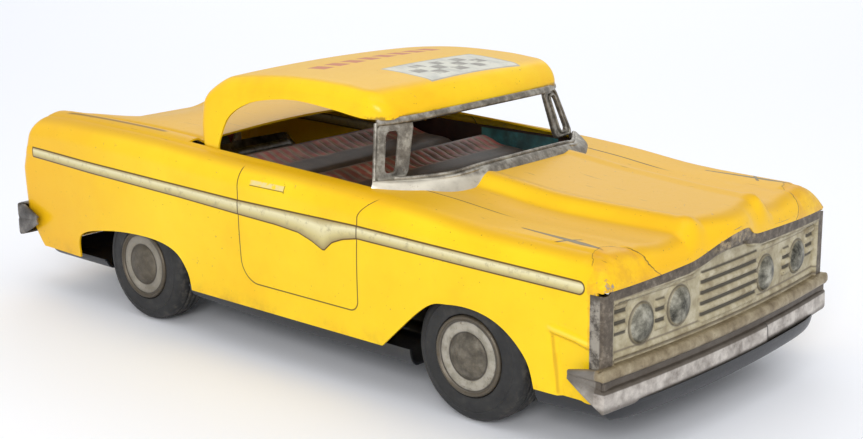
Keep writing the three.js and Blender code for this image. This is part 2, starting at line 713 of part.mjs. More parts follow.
// Wheels: a rubber tyre on a turned bush, closed by a domed tin cap, pressed on a plain steel axle.
const tyreInner = TYRE_FACE_Y - TYRE_WIDTH;
const capSeat = TYRE_FACE_Y - CAP_RECESS;
const boreRadius = BUSH_RADIUS + SEAT_GAP;
const tyreProfile = [
  [boreRadius, tyreInner],
  [TYRE_RADIUS - TYRE_SHOULDER, tyreInner],
  [TYRE_RADIUS - TYRE_SHOULDER * 0.3, tyreInner + TYRE_SHOULDER * 0.3],
  [TYRE_RADIUS, tyreInner + TYRE_SHOULDER],
  [TYRE_RADIUS, TYRE_FACE_Y - TYRE_SHOULDER],
  [TYRE_RADIUS - TYRE_SHOULDER * 0.3, TYRE_FACE_Y - TYRE_SHOULDER * 0.3],
  [TYRE_RADIUS - TYRE_SHOULDER, TYRE_FACE_Y],
  [CAP_RADIUS + SEAT_GAP, TYRE_FACE_Y],
  [CAP_RADIUS + SEAT_GAP, capSeat],
  [boreRadius, capSeat],
  [boreRadius, tyreInner],
];
const capProfile = [
  [0, capSeat],
  [CAP_RADIUS, capSeat],
  [CAP_RADIUS, TYRE_FACE_Y - 0.3],
  [CAP_RADIUS - 1.4, TYRE_FACE_Y + 0.2],
  [CAP_RADIUS - 3.6, TYRE_FACE_Y],
  [CAP_RADIUS - 5, TYRE_FACE_Y + CAP_DOME * 0.6],
  [0, TYRE_FACE_Y + CAP_DOME],
];
const bushProfile = [
  [AXLE_RADIUS + SEAT_GAP, tyreInner],
  [BUSH_RADIUS, tyreInner],
  [BUSH_RADIUS, capSeat],
  [AXLE_RADIUS + SEAT_GAP, capSeat],
  [AXLE_RADIUS + SEAT_GAP, tyreInner],
];

for (const [end, axleX] of [["front", FRONT_AXLE_X], ["rear", REAR_AXLE_X]]) {
  for (const side of ["left", "right"]) {
    const wheel = new THREE.Group();
    wheel.position.set(axleX, 0, AXLE_Z);
    if (side === "right") wheel.rotation.z = Math.PI;
    car.add(wheel);
    piece(`${end}_${side}_tyre`, turned(tyreProfile), rubber, wheel);
    piece(`${end}_${side}_hub_cap`, turned(capProfile, 24), creamTin, wheel);
    piece(`${end}_${side}_bush`, turned(bushProfile, 16), steel, wheel);
  }
  const axle = new THREE.Group();
  axle.position.set(axleX, 0, AXLE_Z);
  car.add(axle);
  piece(`${end}_axle`, rod(AXLE_RADIUS, -capSeat, capSeat), steel, axle);
}

// Front axle bracket: a strip bent up into two ears, fixed flat on the base plate.
const EAR_Y = 20;
const EAR_WIDTH = 9;
const earTop = AXLE_Z + 4;
const ear = [
  [FRONT_AXLE_X - EAR_WIDTH / 2, FLOOR_TOP_Z],
  [FRONT_AXLE_X + EAR_WIDTH / 2, FLOOR_TOP_Z],
  [FRONT_AXLE_X + EAR_WIDTH / 2, earTop],
  [FRONT_AXLE_X - EAR_WIDTH / 2, earTop],
];
let bracket = solid(
  box(
    FRONT_AXLE_X - EAR_WIDTH / 2,
    FRONT_AXLE_X + EAR_WIDTH / 2,
    -EAR_Y,
    EAR_Y,
    FLOOR_TOP_Z,
    FLOOR_TOP_Z + PLATE_THICKNESS,
  ),
);
const axleHole = roundHole(FRONT_AXLE_X, AXLE_Z, AXLE_RADIUS + RUNNING_GAP);
for (const y of [-EAR_Y, EAR_Y - PLATE_THICKNESS]) {
  bracket = bracket.add(solid(across(ear, y, y + PLATE_THICKNESS, [axleHole])));
}
piece("front_axle_bracket", geometryOf(bracket), steel);

// Friction motor: two plates on three posts, with a gear train from the rear axle up to the flywheel.
const pitchRadius = (teeth) => (GEAR_MODULE * teeth) / 2;
const PRESSURE_ANGLE = THREE.MathUtils.degToRad(20);

function alongBearing([x, z], distance, bearing) {
  return [x + distance * Math.cos(bearing), z + distance * Math.sin(bearing)];
}

const axleAt = [REAR_AXLE_X, AXLE_Z];
const idlerAt = alongBearing(
  axleAt,
  pitchRadius(AXLE_GEAR_TEETH) + pitchRadius(IDLER_PINION_TEETH),
  IDLER_BEARING,
);
const flywheelAt = alongBearing(
  idlerAt,
  pitchRadius(IDLER_GEAR_TEETH) + pitchRadius(FLYWHEEL_PINION_TEETH),
  FLYWHEEL_BEARING,
);

// An involute gear about the origin, in x and z, with a tooth centred on the given bearing.
function gear(teeth, bearing, bore, y0) {
  const pitch = pitchRadius(teeth);
  const baseCircle = pitch * Math.cos(PRESSURE_ANGLE);
  const root = pitch - 1.15 * GEAR_MODULE;
  const tip = pitch + 0.85 * GEAR_MODULE;
  const involute = (a) => Math.tan(a) - a;
  const halfAngle = (radius) => {
    const a = Math.acos(Math.min(1, baseCircle / Math.max(radius, baseCircle)));
    const flank = Math.PI / (2 * teeth) + involute(PRESSURE_ANGLE) - involute(a);
    return flank - TOOTH_BACKLASH / 2 / pitch;
  };
  const radii = [root, Math.max(baseCircle, root + 0.2), pitch, tip];
  const points = [];
  for (let i = 0; i < teeth; i++) {
    const centre = bearing + (2 * Math.PI * i) / teeth;
    for (const r of radii) points.push([r, centre - halfAngle(r)]);
    for (const r of [...radii].reverse()) points.push([r, centre + halfAngle(r)]);
  }
  const outline = points.map(([r, a]) => [r * Math.cos(a), r * Math.sin(a)]);
  return across(outline, y0, y0 + GEAR_WIDTH, [roundHole(0, 0, bore + SEAT_GAP)]);
}

// The gears' lanes between the plates: the axle gear's, the idler gear's beside it, and the flywheel's.
const LANE_GAP = 1;
const plateInside = PLATE_GAP / 2;
const lowerLane = plateInside - LANE_GAP - 0.2 - GEAR_WIDTH;
const upperLane = lowerLane - LANE_GAP - GEAR_WIDTH;
const flywheelLane = -plateInside + LANE_GAP;

function placed(name, geometry, look, [x, z]) {
  piece(name, geometry, look).position.set(x, 0, z);
}

const idlerMesh = IDLER_BEARING + Math.PI + Math.PI / IDLER_PINION_TEETH;
const flywheelMesh = FLYWHEEL_BEARING + Math.PI + Math.PI / FLYWHEEL_PINION_TEETH;
placed("axle_gear", gear(AXLE_GEAR_TEETH, IDLER_BEARING, AXLE_RADIUS, lowerLane), brass, axleAt);
placed("idler_pinion", gear(IDLER_PINION_TEETH, idlerMesh, SHAFT_RADIUS, lowerLane), brass, idlerAt);
placed("idler_gear", gear(IDLER_GEAR_TEETH, FLYWHEEL_BEARING, SHAFT_RADIUS, upperLane), brass, idlerAt);
placed("flywheel_pinion", gear(FLYWHEEL_PINION_TEETH, flywheelMesh, SHAFT_RADIUS, upperLane), brass, flywheelAt);
const shaftEnd = plateInside + PLATE_THICKNESS + 1;
placed("idler_shaft", rod(SHAFT_RADIUS, -shaftEnd, shaftEnd), steel, idlerAt);
placed("flywheel_shaft", rod(SHAFT_RADIUS, -shaftEnd, shaftEnd), steel, flywheelAt);
const FLYWHEEL_DISH = 2;
const FLYWHEEL_HUB = 3.2;
const rim = FLYWHEEL_RADIUS * 0.72;
const wheelFace = flywheelLane + FLYWHEEL_WIDTH;
const flywheelProfile = [
  [SHAFT_RADIUS + SEAT_GAP, flywheelLane],
  [FLYWHEEL_RADIUS, flywheelLane],
  [FLYWHEEL_RADIUS, wheelFace],
  [rim, wheelFace],
  [rim - 1, wheelFace - FLYWHEEL_DISH],
  [FLYWHEEL_HUB, wheelFace - FLYWHEEL_DISH],
  [FLYWHEEL_HUB, wheelFace],
  [SHAFT_RADIUS + SEAT_GAP, wheelFace],
  [SHAFT_RADIUS + SEAT_GAP, flywheelLane],
];
placed("flywheel", turned(flywheelProfile), steel, flywheelAt);

const POST_RADIUS = 1.3;
const PLATE_MARGIN = 3;
const tipRadius = (teeth) => pitchRadius(teeth) + GEAR_MODULE;
const POST_CLEARANCE = 0.8;
const postReach = tipRadius(AXLE_GEAR_TEETH) + POST_RADIUS + POST_CLEARANCE;
const upperReach = tipRadius(IDLER_GEAR_TEETH) + POST_RADIUS + POST_CLEARANCE;
const frontPostAt = alongBearing(axleAt, postReach, THREE.MathUtils.degToRad(25));
const rearPostAt = alongBearing(axleAt, postReach, THREE.MathUtils.degToRad(200));
const upperPostAt = alongBearing(idlerAt, upperReach, THREE.MathUtils.degToRad(62));
const posts = [["front", frontPostAt], ["rear", rearPostAt], ["upper", upperPostAt]];
const plateOutline = [
  [frontPostAt[0] + PLATE_MARGIN, FLOOR_TOP_Z],
  [frontPostAt[0] + PLATE_MARGIN, frontPostAt[1] + PLATE_MARGIN],
  [upperPostAt[0] + PLATE_MARGIN, upperPostAt[1]],
  [upperPostAt[0] - 1, upperPostAt[1] + PLATE_MARGIN],
  [flywheelAt[0] - PLATE_MARGIN, flywheelAt[1] + PLATE_MARGIN + 1],
  [flywheelAt[0] - PLATE_MARGIN - 1, flywheelAt[1] - PLATE_MARGIN],
  [rearPostAt[0] - PLATE_MARGIN, FLOOR_TOP_Z + 4],
  [rearPostAt[0] - PLATE_MARGIN, FLOOR_TOP_Z],
];
const plateHoles = [
  roundHole(...axleAt, AXLE_RADIUS + RUNNING_GAP),
  roundHole(...idlerAt, SHAFT_RADIUS + RUNNING_GAP),
  roundHole(...flywheelAt, SHAFT_RADIUS + RUNNING_GAP),
];
for (const [side, y] of [["left", plateInside], ["right", -plateInside - PLATE_THICKNESS]]) {
  piece(`motor_plate_${side}`, across(plateOutline, y, y + PLATE_THICKNESS, plateHoles), steel);
}
for (const [place, at] of posts) {
  placed(`motor_post_${place}`, rod(POST_RADIUS, -plateInside, plateInside, 16), steel, at);
}

export default car;
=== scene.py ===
"""A friction-drive tin car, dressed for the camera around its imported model. Sizes are in millimetres in the
car's own frame, +X forward, +Y to its left, +Z up, and every mesh is scaled to metres as it is made."""

import math

import bmesh
import bpy
import numpy as np
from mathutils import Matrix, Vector


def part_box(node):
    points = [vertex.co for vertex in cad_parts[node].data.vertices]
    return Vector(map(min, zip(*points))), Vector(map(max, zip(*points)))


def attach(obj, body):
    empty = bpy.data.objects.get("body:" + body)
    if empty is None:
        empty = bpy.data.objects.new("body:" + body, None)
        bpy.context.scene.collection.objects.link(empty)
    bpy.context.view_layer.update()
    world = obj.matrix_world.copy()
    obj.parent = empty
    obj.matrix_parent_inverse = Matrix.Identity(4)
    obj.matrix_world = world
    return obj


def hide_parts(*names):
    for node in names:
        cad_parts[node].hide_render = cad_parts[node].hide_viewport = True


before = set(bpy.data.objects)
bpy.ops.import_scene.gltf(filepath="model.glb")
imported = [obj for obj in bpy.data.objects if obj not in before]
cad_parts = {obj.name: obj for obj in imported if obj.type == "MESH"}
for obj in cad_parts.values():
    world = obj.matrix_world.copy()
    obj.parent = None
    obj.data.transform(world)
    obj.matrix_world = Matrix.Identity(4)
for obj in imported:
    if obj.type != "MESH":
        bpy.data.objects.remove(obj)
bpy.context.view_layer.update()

# --- Table, light and viewpoint -----------------------------------------------------------------------------
# The car stands on plain white paper in the even light of a small product studio: a white surround, one broad
# panel overhead, a smaller one over the near front, and a weak one behind.

MM = 0.001
PAPER_HALF = 2.6

bpy.context.scene.view_settings.view_transform = "Standard"


def paper(name, low, high, rough):
    """Plain matt paper with a faint mottle, so that it doesn't read as a perfect surface."""
    made = bpy.data.materials.new(name)
    made.use_nodes = True
    tree = made.node_tree
    mottle = tree.nodes.new("ShaderNodeTexNoise")
    mottle.inputs["Scale"].default_value = 5
    ramp = tree.nodes.new("ShaderNodeValToRGB")
    ramp.color_ramp.elements[0].color = (*low, 1)
    ramp.color_ramp.elements[1].color = (*high, 1)
    tree.links.new(mottle.outputs["Fac"], ramp.inputs["Fac"])
    surface = tree.nodes["Principled BSDF"]
    surface.inputs["Roughness"].default_value = rough
    surface.inputs["Specular IOR Level"].default_value = 0.2
    tree.links.new(ramp.outputs["Color"], surface.inputs["Base Color"])
    return made


def table_paper():
    mesh = bpy.data.meshes.new("table_paper")
    form = bmesh.new()
    corners = ((-1, -1), (1, -1), (1, 1), (-1, 1))
    form.faces.new([form.verts.new((PAPER_HALF * a, PAPER_HALF * b, 0)) for a, b in corners])
    form.to_mesh(mesh)
    form.free()
    mesh.materials.append(paper("table_paper", (0.88, 0.90, 0.96), (0.915, 0.935, 0.985), 0.6))
    table = bpy.data.objects.new("table_paper", mesh)
    bpy.context.scene.collection.objects.link(table)


table_paper()

surround = bpy.data.worlds.new("white_surround")
bpy.context.scene.world = surround
surround.use_nodes = True
surround.node_tree.nodes["Background"].inputs["Color"].default_value = (1.0, 1.0, 1.0, 1)
surround.node_tree.nodes["Background"].inputs["Strength"].default_value = 0.74
backdrop = surround.node_tree.nodes.new("ShaderNodeBackground")
backdrop.inputs["Color"].default_value = (1.0, 1.0, 1.0, 1)
backdrop.inputs["Strength"].default_value = 1.0
seen = surround.node_tree.nodes.new("ShaderNodeLightPath")
either = surround.node_tree.nodes.new("ShaderNodeMixShader")
surround.node_tree.links.new(seen.outputs["Is Camera Ray"], either.inputs["Fac"])
surround.node_tree.links.new(surround.node_tree.nodes["Background"].outputs[0], either.inputs[1])
surround.node_tree.links.new(backdrop.outputs[0], either.inputs[2])
surround.node_tree.links.new(either.outputs[0], surround.node_tree.nodes["World Output"].inputs["Surface"])


def light_panel(name, place, aim, width, height, watts, tint):
    lamp = bpy.data.lights.new(name, "AREA")
    lamp.shape = "RECTANGLE"
    lamp.size = width
    lamp.size_y = height
    lamp.energy = watts
    lamp.color = tint
    panel = bpy.data.objects.new(name, lamp)
    panel.location = place
    panel.rotation_euler = (Vector(aim) - Vector(place)).to_track_quat("-Z", "Y").to_euler()
    bpy.context.scene.collection.objects.link(panel)


light_panel("top_panel", (0.15, -0.1, 1.1), (0, 0, 0.03), 1.0, 0.8, 2.2, (1.0, 0.99, 0.97))
light_panel("near_panel", (0.55, -0.75, 0.45), (0, 0, 0.03), 0.35, 0.35, 4.2, (1.0, 0.99, 0.97))
light_panel("back_panel", (-0.7, 0.9, 0.7), (0, 0, 0.04), 0.9, 0.6, 3, (0.97, 0.99, 1.0))

CAMERA_AZIMUTH = math.radians(42.142)
CAMERA_RISE = math.radians(14.407)
CAMERA_DISTANCE = 383.5 * MM
CAMERA_TARGET = Vector((13.8, 0, 28.85)) * MM
CAMERA_ROLL = math.radians(-0.697)
LENS = 64.24

eye = bpy.data.objects.new("viewpoint", bpy.data.cameras.new("viewpoint"))
eye.data.lens = LENS
eye.data.sensor_width = 36
eye.data.clip_start = 0.01
back = Vector(
    (
        math.sin(CAMERA_AZIMUTH) * math.cos(CAMERA_RISE),
        -math.cos(CAMERA_AZIMUTH) * math.cos(CAMERA_RISE),
        math.sin(CAMERA_RISE),
    )
)
eye.location = CAMERA_TARGET + back * CAMERA_DISTANCE
eye.rotation_euler = back.to_track_quat("Z", "Y").to_euler()
eye.rotation_euler.rotate_axis("Z", CAMERA_ROLL)
bpy.context.scene.collection.objects.link(eye)
bpy.context.scene.camera = eye

# --- Body pressing ------------------------------------------------------------------------------------------
# One sheet of tinplate, printed yellow before it was pressed, with the side trim, door lines and fender darts
# printed in the same pass. The hood rise, fender crests and scoops are pressed into it.


class Ink:
    """A value, colour or vector on its way through a material: sums of it add nodes to the material's tree."""

    def __init__(self, tree, socket):
        self.tree = tree
        self.socket = socket

    def node(self, kind, settings=None, out=0, **sockets):
        """Adds a node, sets it up, feeds its sockets by name or by number, and gives one of its outputs."""
        made = self.tree.nodes.new("ShaderNode" + kind)
        for key, value in (settings or {}).items():
            if key == "stops":
                shape_ramp(made.color_ramp, value)
            else:
                setattr(made, key, value)
        for key, value in sockets.items():
            target = made.inputs[int(key[1:])] if key[1:].isdigit() else made.inputs[key.replace("_", " ")]
            if isinstance(value, Ink):
                self.tree.links.new(value.socket, target)
            elif value is not None:
                target.default_value = value
        return Ink(self.tree, made.outputs[out])

    def maths(self, operation, a, b=None):
        return self.node("Math", {"operation": operation}, i0=a, i1=b)

    def __add__(self, other):
        return self.maths("ADD", self, other)

    def __radd__(self, other):
        return self.maths("ADD", other, self)

    def __sub__(self, other):
        return self.maths("SUBTRACT", self, other)

    def __rsub__(self, other):
        return self.maths("SUBTRACT", other, self)

    def __mul__(self, other):
        return self.maths("MULTIPLY", self, other)

    def __rmul__(self, other):
        return self.maths("MULTIPLY", other, self)

    def __truediv__(self, other):
        return self.maths("DIVIDE", self, other)

    def __pow__(self, other):
        return self.maths("POWER", self, other)

    def __abs__(self):
        return self.maths("ABSOLUTE", self)

    def least(self, other):
        return self.maths("MINIMUM", self, other)

    def most(self, other):
        return self.maths("MAXIMUM", self, other)

    def ease(self, low, high):
        """0 below low, 1 above high, with a soft step between."""
        return self.node(
            "MapRange", {"interpolation_type": "SMOOTHSTEP"}, Value=self, From_Min=low, From_Max=high
        )

    def within(self, low, high, soft):
        """1 between low and high, with soft edges."""
        return (self - low).ease(-soft, soft) * (high - self).ease(-soft, soft)

    def over(self, under, mask):
        """This colour laid over another one where the mask is 1."""
        return self.node("Mix", {"data_type": "RGBA"}, out=2, i0=mask, i6=under, i7=self)

    def grain(self, scale, detail=3.0, rough=0.5):
        """Noise at this place, with scale features to the millimetre."""
        return self.node("TexNoise", None, 0, Vector=self, Scale=scale, Detail=detail, Roughness=rough)


def shape_ramp(ramp, stops):
    while len(ramp.elements) < len(stops):
        ramp.elements.new(0.5)
    for element, (place, tone) in zip(ramp.elements, stops):
        element.position = place
        element.color = (*tone, 1) if len(tone) == 3 else tone


def finish_of(name, paint):
    """A material whose surface sockets come from paint(place, x, y, z), with the place in millimetres."""
    made = bpy.data.materials.new(name)
    made.use_nodes = True
    tree = made.node_tree
    surface = tree.nodes["Principled BSDF"]
    start = Ink(tree, None)
    coordinates = start.node("TexCoord", out=3)
    place = start.node("VectorMath", {"operation": "SCALE"}, i0=coordinates, Scale=1 / MM)
    split = start.node("SeparateXYZ", None, 0, i0=place)
    axes = [Ink(tree, split.socket.node.outputs[i]) for i in range(3)]
    for socket, value in paint(place, *axes).items():
        target = surface.inputs[socket]
        if isinstance(value, Ink):
            tree.links.new(value.socket, target)
        else:
            target.default_value = value
    return made


def bumped(height, strength, distance=0.1):
    return height.node("Bump", None, 0, Strength=strength, Distance=distance * MM, Height=height)


def flat_tone(place, tone):
    """A colour as a link, for mixing."""
    return place.node("Mix", {"data_type": "RGBA"}, out=2, i0=0.0, i6=(*tone, 1), i7=(*tone, 1))


def through(keys):
    """A smooth curve through (place, value) keys, for arrays."""
    places = np.array([k[0] for k in keys], float)
    values = np.array([k[1] for k in keys], float)
    slopes = np.zeros(len(keys))
    slopes[1:-1] = (values[2:] - values[:-2]) / (places[2:] - places[:-2])

    def at(x):
        x = np.clip(np.asarray(x, float), places[0], places[-1])
        i = np.clip(np.searchsorted(places, x, side="right") - 1, 0, len(places) - 2)
        span = places[i + 1] - places[i]
        t = (x - places[i]) / span
        hermite = (values[i] * (1 + 2 * t) * (1 - t) ** 2 + values[i + 1] * t * t * (3 - 2 * t))
        return hermite + span * t * (1 - t) * (slopes[i] * (1 - t) - slopes[i + 1] * t)

    return at


def soft_step(x, low, high):
    t = np.clip((np.asarray(x, float) - low) / (high - low), 0, 1)
    return t * t * (3 - 2 * t)


def hump(x, middle, half):
    """A rounded rise of height 1 about the middle, level with its surroundings at each side."""
    return np.clip(1 - ((x - middle) / half) ** 2, 0, 1) ** 2


def sheet_object(name, grid, wall=None, inward=True, closed=False):
    """A mesh through a grid of points [rows, columns, 3] in millimetres, thickened to a wall of sheet metal."""
    rows, columns = grid.shape[:2]
    mesh = bpy.data.meshes.new(name)
    index = np.arange(rows * columns).reshape(rows, columns)
    if closed:
        index = np.concatenate([index, index[:, :1]], axis=1)
    quads = np.stack(
        [index[:-1, :-1], index[:-1, 1:], index[1:, 1:], index[1:, :-1]], axis=-1
    ).reshape(-1, 4)
    mesh.from_pydata((grid.reshape(-1, 3) * MM).tolist(), [], quads.tolist())
    form = bmesh.new()
    form.from_mesh(mesh)
    bmesh.ops.remove_doubles(form, verts=form.verts, dist=1e-7)
    form.to_mesh(mesh)
    form.free()
    made = bpy.data.objects.new(name, mesh)
    bpy.context.scene.collection.objects.link(made)
    if wall:
        thicken = made.modifiers.new("sheet", "SOLIDIFY")
        thicken.thickness = wall * MM
        thicken.offset = -1 if inward else 1
    return made


def applied(made):
    """Bakes an object's modifiers into its mesh."""
    graph = bpy.context.evaluated_depsgraph_get()
    shaped = bpy.data.meshes.new_from_object(made.evaluated_get(graph))
    made.modifiers.clear()
    made.data = shaped
    return made


def smoothed(made, degrees=35):
    made.data.polygons.foreach_set("use_smooth", [True] * len(made.data.polygons))
    made.data.set_sharp_from_angle(angle=math.radians(degrees))
    return made


def cutter(name, outline, low, high, axis):
    """A prism to cut with: an outline in the two other axes, carried along an axis from low to high."""
    mesh = bpy.data.meshes.new(name)
    form = bmesh.new()
    ends = []
    for at in (low, high):
        ring = []
        for a, b in outline:
            point = {"X": (at, a, b), "Y": (a, at, b), "Z": (a, b, at)}[axis]
            ring.append(form.verts.new([c * MM for c in point]))
        ends.append(ring)
    form.faces.new(ends[0])
    form.faces.new(list(reversed(ends[1])))
    for i in range(len(outline)):
        j = (i + 1) % len(outline)
        form.faces.new((ends[0][i], ends[1][i], ends[1][j], ends[0][j]))
    bmesh.ops.recalc_face_normals(form, faces=form.faces)
    form.to_mesh(mesh)
    form.free()
    made = bpy.data.objects.new(name, mesh)
    bpy.context.scene.collection.objects.link(made)
    return made


def cut(made, tools):
    for tool in tools:
        away = made.modifiers.new(tool.name, "BOOLEAN")
        away.operation = "DIFFERENCE"
        away.solver = "EXACT"
        away.object = tool
        applied(made)
        bpy.data.objects.remove(tool)
    return made


body_low, body_high = (tuple(c / MM for c in corner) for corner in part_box("body_shell"))
SHEET = 0.5
HALF = body_high[1] - 0.15
SILL = body_low[2]
NOSE_BULGE = 2.6
NOSE = body_high[0] - NOSE_BULGE
NOSE_ROLL = 4.6
TAIL_LEAN = 5.8
TAIL = body_low[0] + TAIL_LEAN
TAIL_ROLL = 3.4
TAIL_TURN = 2.4
FRONT_AXLE = (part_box("front_axle")[0][0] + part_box("front_axle")[1][0]) / 2 / MM
REAR_AXLE = (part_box("rear_axle")[0][0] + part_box("rear_axle")[1][0]) / 2 / MM
AXLE_HEIGHT = (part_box("front_axle")[0][2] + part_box("front_axle")[1][2]) / 2 / MM
COWL = 41.0
CABIN_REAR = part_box("roof_panel")[0][0] / MM
OPENING = HALF - 5.25
SHOULDER = 5.0
SHOULDER_DROP = 5.2
KNEE = 34.0
HIP = 21.0
TAIL_CREST = 48.3

crest_height = through(
    [
        (TAIL, 48.0),
        (TAIL + 14, 48.6),
        (CABIN_REAR - 14, 48.4),
        (CABIN_REAR + 14, 47.2),
        (COWL - 14, 45.9),
        (COWL + 6, 44.6),
        (FRONT_AXLE + 4, 42.8),
        (NOSE, 42.0),
    ]
)
half_width = through([(TAIL, HALF - 1), (TAIL + 30, HALF), (FRONT_AXLE, HALF), (NOSE, HALF - 0.5)])
# The hood's front edge over the grille: level, with a knocked arch a little to the car's right of the middle.
hood_lip = through(
    [(-44, 36.3), (-17, 37.1), (-11.5, 38.0), (-6.7, 39.4), (-1.5, 40.4), (4.6, 40.3), (7.6, 38.4), (11, 37.9), (44, 36.7)]
)


# The far edge of the patch that was pressed flat at each of the hood's front corners.
brow_edge = through([(34, 25.0), (36, 25.8), (38, 28.3), (39.5, 29.7), (41.5, 30.4), (43, 32.2), (46, 33)])


def top_rise(x, y, inner):
    """Height of the hood or deck over the crest line, at a distance y from the middle."""
    y = np.abs(y)
    front = soft_step(x, CABIN_REAR + 6, COWL - 6)
    edge = 17.0 - 2.4 * soft_step(x, NOSE - 34, NOSE)
    bulge = 2.5 * (1 - soft_step(y, edge - 2.2, edge + 2.6))
    valley = -0.6 * hump(y, edge + 7, 7) + 0.5 * hump(y, 35.5, 6) * soft_step(x, NOSE - 44, NOSE - 12)
    valley = valley + 0.5 * hump(y, edge - 1.6, 3.2)
    dish = -0.35 * (1 - (y / edge) ** 2).clip(0) * soft_step(x, COWL + 20, NOSE)
    hood = bulge + valley + dish
    fin = 0.9 * hump(y, inner - 2.6, 4.4) - 0.7 * hump(y, inner - 5.2, 2.2) * soft_step(x, TAIL + 6, TAIL + 12)
    droop = 5.2 * (1 - soft_step(y, 12, 33)) * (1 - soft_step(x, TAIL, TAIL + 44))
    deck = fin + 1.6 * (1 - (y / inner) ** 2).clip(0) ** 1.5 * soft_step(x, TAIL, TAIL + 40) - droop
    return front * hood + (1 - front) * deck


def turned_in(x, end, radius):
    """How far a rounded end has drawn in at x: nothing until radius from the end, and radius at the end."""
    into = np.clip(radius - np.abs(end - x), 0, radius)
    return radius - np.sqrt(radius**2 - into**2)


def tail_lean(z):
    above = (TAIL_CREST - z) / (TAIL_CREST - KNEE)
    return np.clip(np.where(z > KNEE, above, (z - SILL) / (HIP - SILL)), 0, 1) ** 0.8


TRIM_TOP = [(-93.6, 40.3), (-8, 38.8), (31, 39.0), (93, 37.7)]
TRIM_BOTTOM = [
    (-93.6, 37.7), (-30, 36.2), (-8, 35.4), (5, 35.0), (12.6, 34.4), (16.8, 33.2),
    (20.8, 31.5), (23.6, 33.9), (27, 35.2), (31.4, 36.1), (93, 35.1),
]


def line_of(keys, x):
    return np.interp(x, [k[0] for k in keys], [k[1] for k in keys])


def body_grid():
    """The outer surface of the pressing, from the near sill over the top to the far sill."""
    x = np.concatenate(
        [
            TAIL + TAIL_ROLL * (1 - np.cos(np.linspace(0, math.pi / 2, 11))),
            np.linspace(TAIL + TAIL_ROLL, NOSE - NOSE_ROLL, 236)[1:-1],
            NOSE - NOSE_ROLL * (1 - np.sin(np.linspace(0, math.pi / 2, 13))),
        ]
    )[:, None]
    crest = crest_height(x)
    half = half_width(x) - turned_in(x, TAIL, TAIL_TURN)
    inner = half - SHOULDER
    tail_drop = turned_in(x, TAIL, TAIL_ROLL)
    nose_share = turned_in(x, NOSE, NOSE_ROLL) / NOSE_ROLL
    low = crest - SHOULDER_DROP
    t = np.linspace(0, 1, 76)[None, :-1]
    side_z = SILL + (low - SILL) * t
    under = 0.8 * (1 - soft_step(side_z, SILL, KNEE))
    side_y = half - under
    strip = soft_step(side_z, line_of(TRIM_BOTTOM, x) - 0.2, line_of(TRIM_BOTTOM, x) + 0.5)
    strip = strip * (1 - soft_step(side_z, line_of(TRIM_TOP, x) - 0.5, line_of(TRIM_TOP, x) + 0.2))
    side_y = side_y + 0.22 * strip * soft_step(x, TAIL + 0.5, TAIL + 2) * (1 - soft_step(x, 91.8, 93.2))
    scoop_line = 26.4 - (x - 84) * 0.15
    scoop = soft_step(x, 84.2 + (26 - side_z) * 0.1, 85.2 + (26 - side_z) * 0.1)
    scoop = scoop * (1 - soft_step(side_z, scoop_line - 0.9, scoop_line))
    rear_scoop = 1 - soft_step(x, -94.4 - (27 - side_z) * 0.1, -93.2 - (27 - side_z) * 0.1)
    rear_scoop = rear_scoop * (1 - soft_step(side_z, 26.8, 27.7))
    side_y = side_y - 0.9 * (scoop + rear_scoop)
    ledge = hump(side_z, scoop_line + 0.5, 1.1) * soft_step(x, 83.6, 85.2) * (1 - soft_step(x, 95.4, 96.8))
    handle = hump(side_z, 43.6 - (low - 41.2), 1.1) * soft_step(x, -4.2, -3.0) * (1 - soft_step(x, 7.2, 8.4))
    side_y = side_y + 0.45 * ledge + 0.25 * handle
    a = np.linspace(0, math.pi / 2, 17)[None, :-1]
    turn_y = inner + SHOULDER * np.cos(a)
    turn_z = low + (SHOULDER_DROP - tail_drop) * np.sin(a)
    s = np.linspace(0, 1, 110)[None, :]
    top_y = inner * (1 - s)
    top_z = crest + top_rise(x, top_y, inner) - tail_drop
    half_y = np.concatenate([side_y + 0 * x, turn_y + 0 * x, top_y + 0 * x], axis=1)
    half_z = np.concatenate([side_z + 0 * x, turn_z + 0 * x, top_z + 0 * x], axis=1)
    y = np.concatenate([-half_y, half_y[:, -2::-1]], axis=1)
    z = np.concatenate([half_z, half_z[:, -2::-1]], axis=1)
    z = z + 0.8 * hump(np.abs(y), 13.4, 3.8) * hump(x, NOSE - 1.6, 4.2)
    brow = soft_step(np.abs(y), brow_edge(z) - 0.15, brow_edge(z) + 0.3) * soft_step(x, NOSE - 6.5, NOSE - 5)
    z = z - 0.35 * brow
    over = np.clip(z - hood_lip(y), 0, None)
    z = z - over * nose_share
    bulge = NOSE_BULGE * soft_step(x, NOSE - 24, NOSE) * (1 - (y / HALF) ** 2)
    beak = 0.9 * hump(y, -1.5, 11) * soft_step(x, NOSE - 9, NOSE)
    lean = TAIL_LEAN * (1 - soft_step(x, TAIL, TAIL + 22)) * tail_lean(z)
    return np.stack([x + bulge + beak - lean, y, z], axis=-1)


def tail_wall(end_ring):
    """The back of the body: the last ring drawn in to the middle of its own bottom edge."""
    inward = np.linspace(0, 1, 40)[::-1, None]
    y = end_ring[None, :, 1] * (1 - inward)
    z = SILL + (end_ring[None, :, 2] - SILL) * (1 - inward)
    x = TAIL - TAIL_LEAN * tail_lean(z)
    return np.stack([x, y, z], axis=-1)


def smooth_line(points, steps=8):
    """A smooth curve through points, as a longer list of points."""
    keys = np.array([points[0]] + list(points) + [points[-1]], float)
    curve = []
    for i in range(1, len(keys) - 2):
        p0, p1, p2, p3 = keys[i - 1 : i + 3]
        for t in np.linspace(0, 1, steps + 1)[:-1]:
            square = (2 * p0 - 5 * p1 + 4 * p2 - p3) * t * t
            cube = (3 * p1 - p0 - 3 * p2 + p3) * t**3
            curve.append(tuple(0.5 * (2 * p1 + (p2 - p0) * t + square + cube)))
    curve.append(tuple(keys[-2]))
    return curve


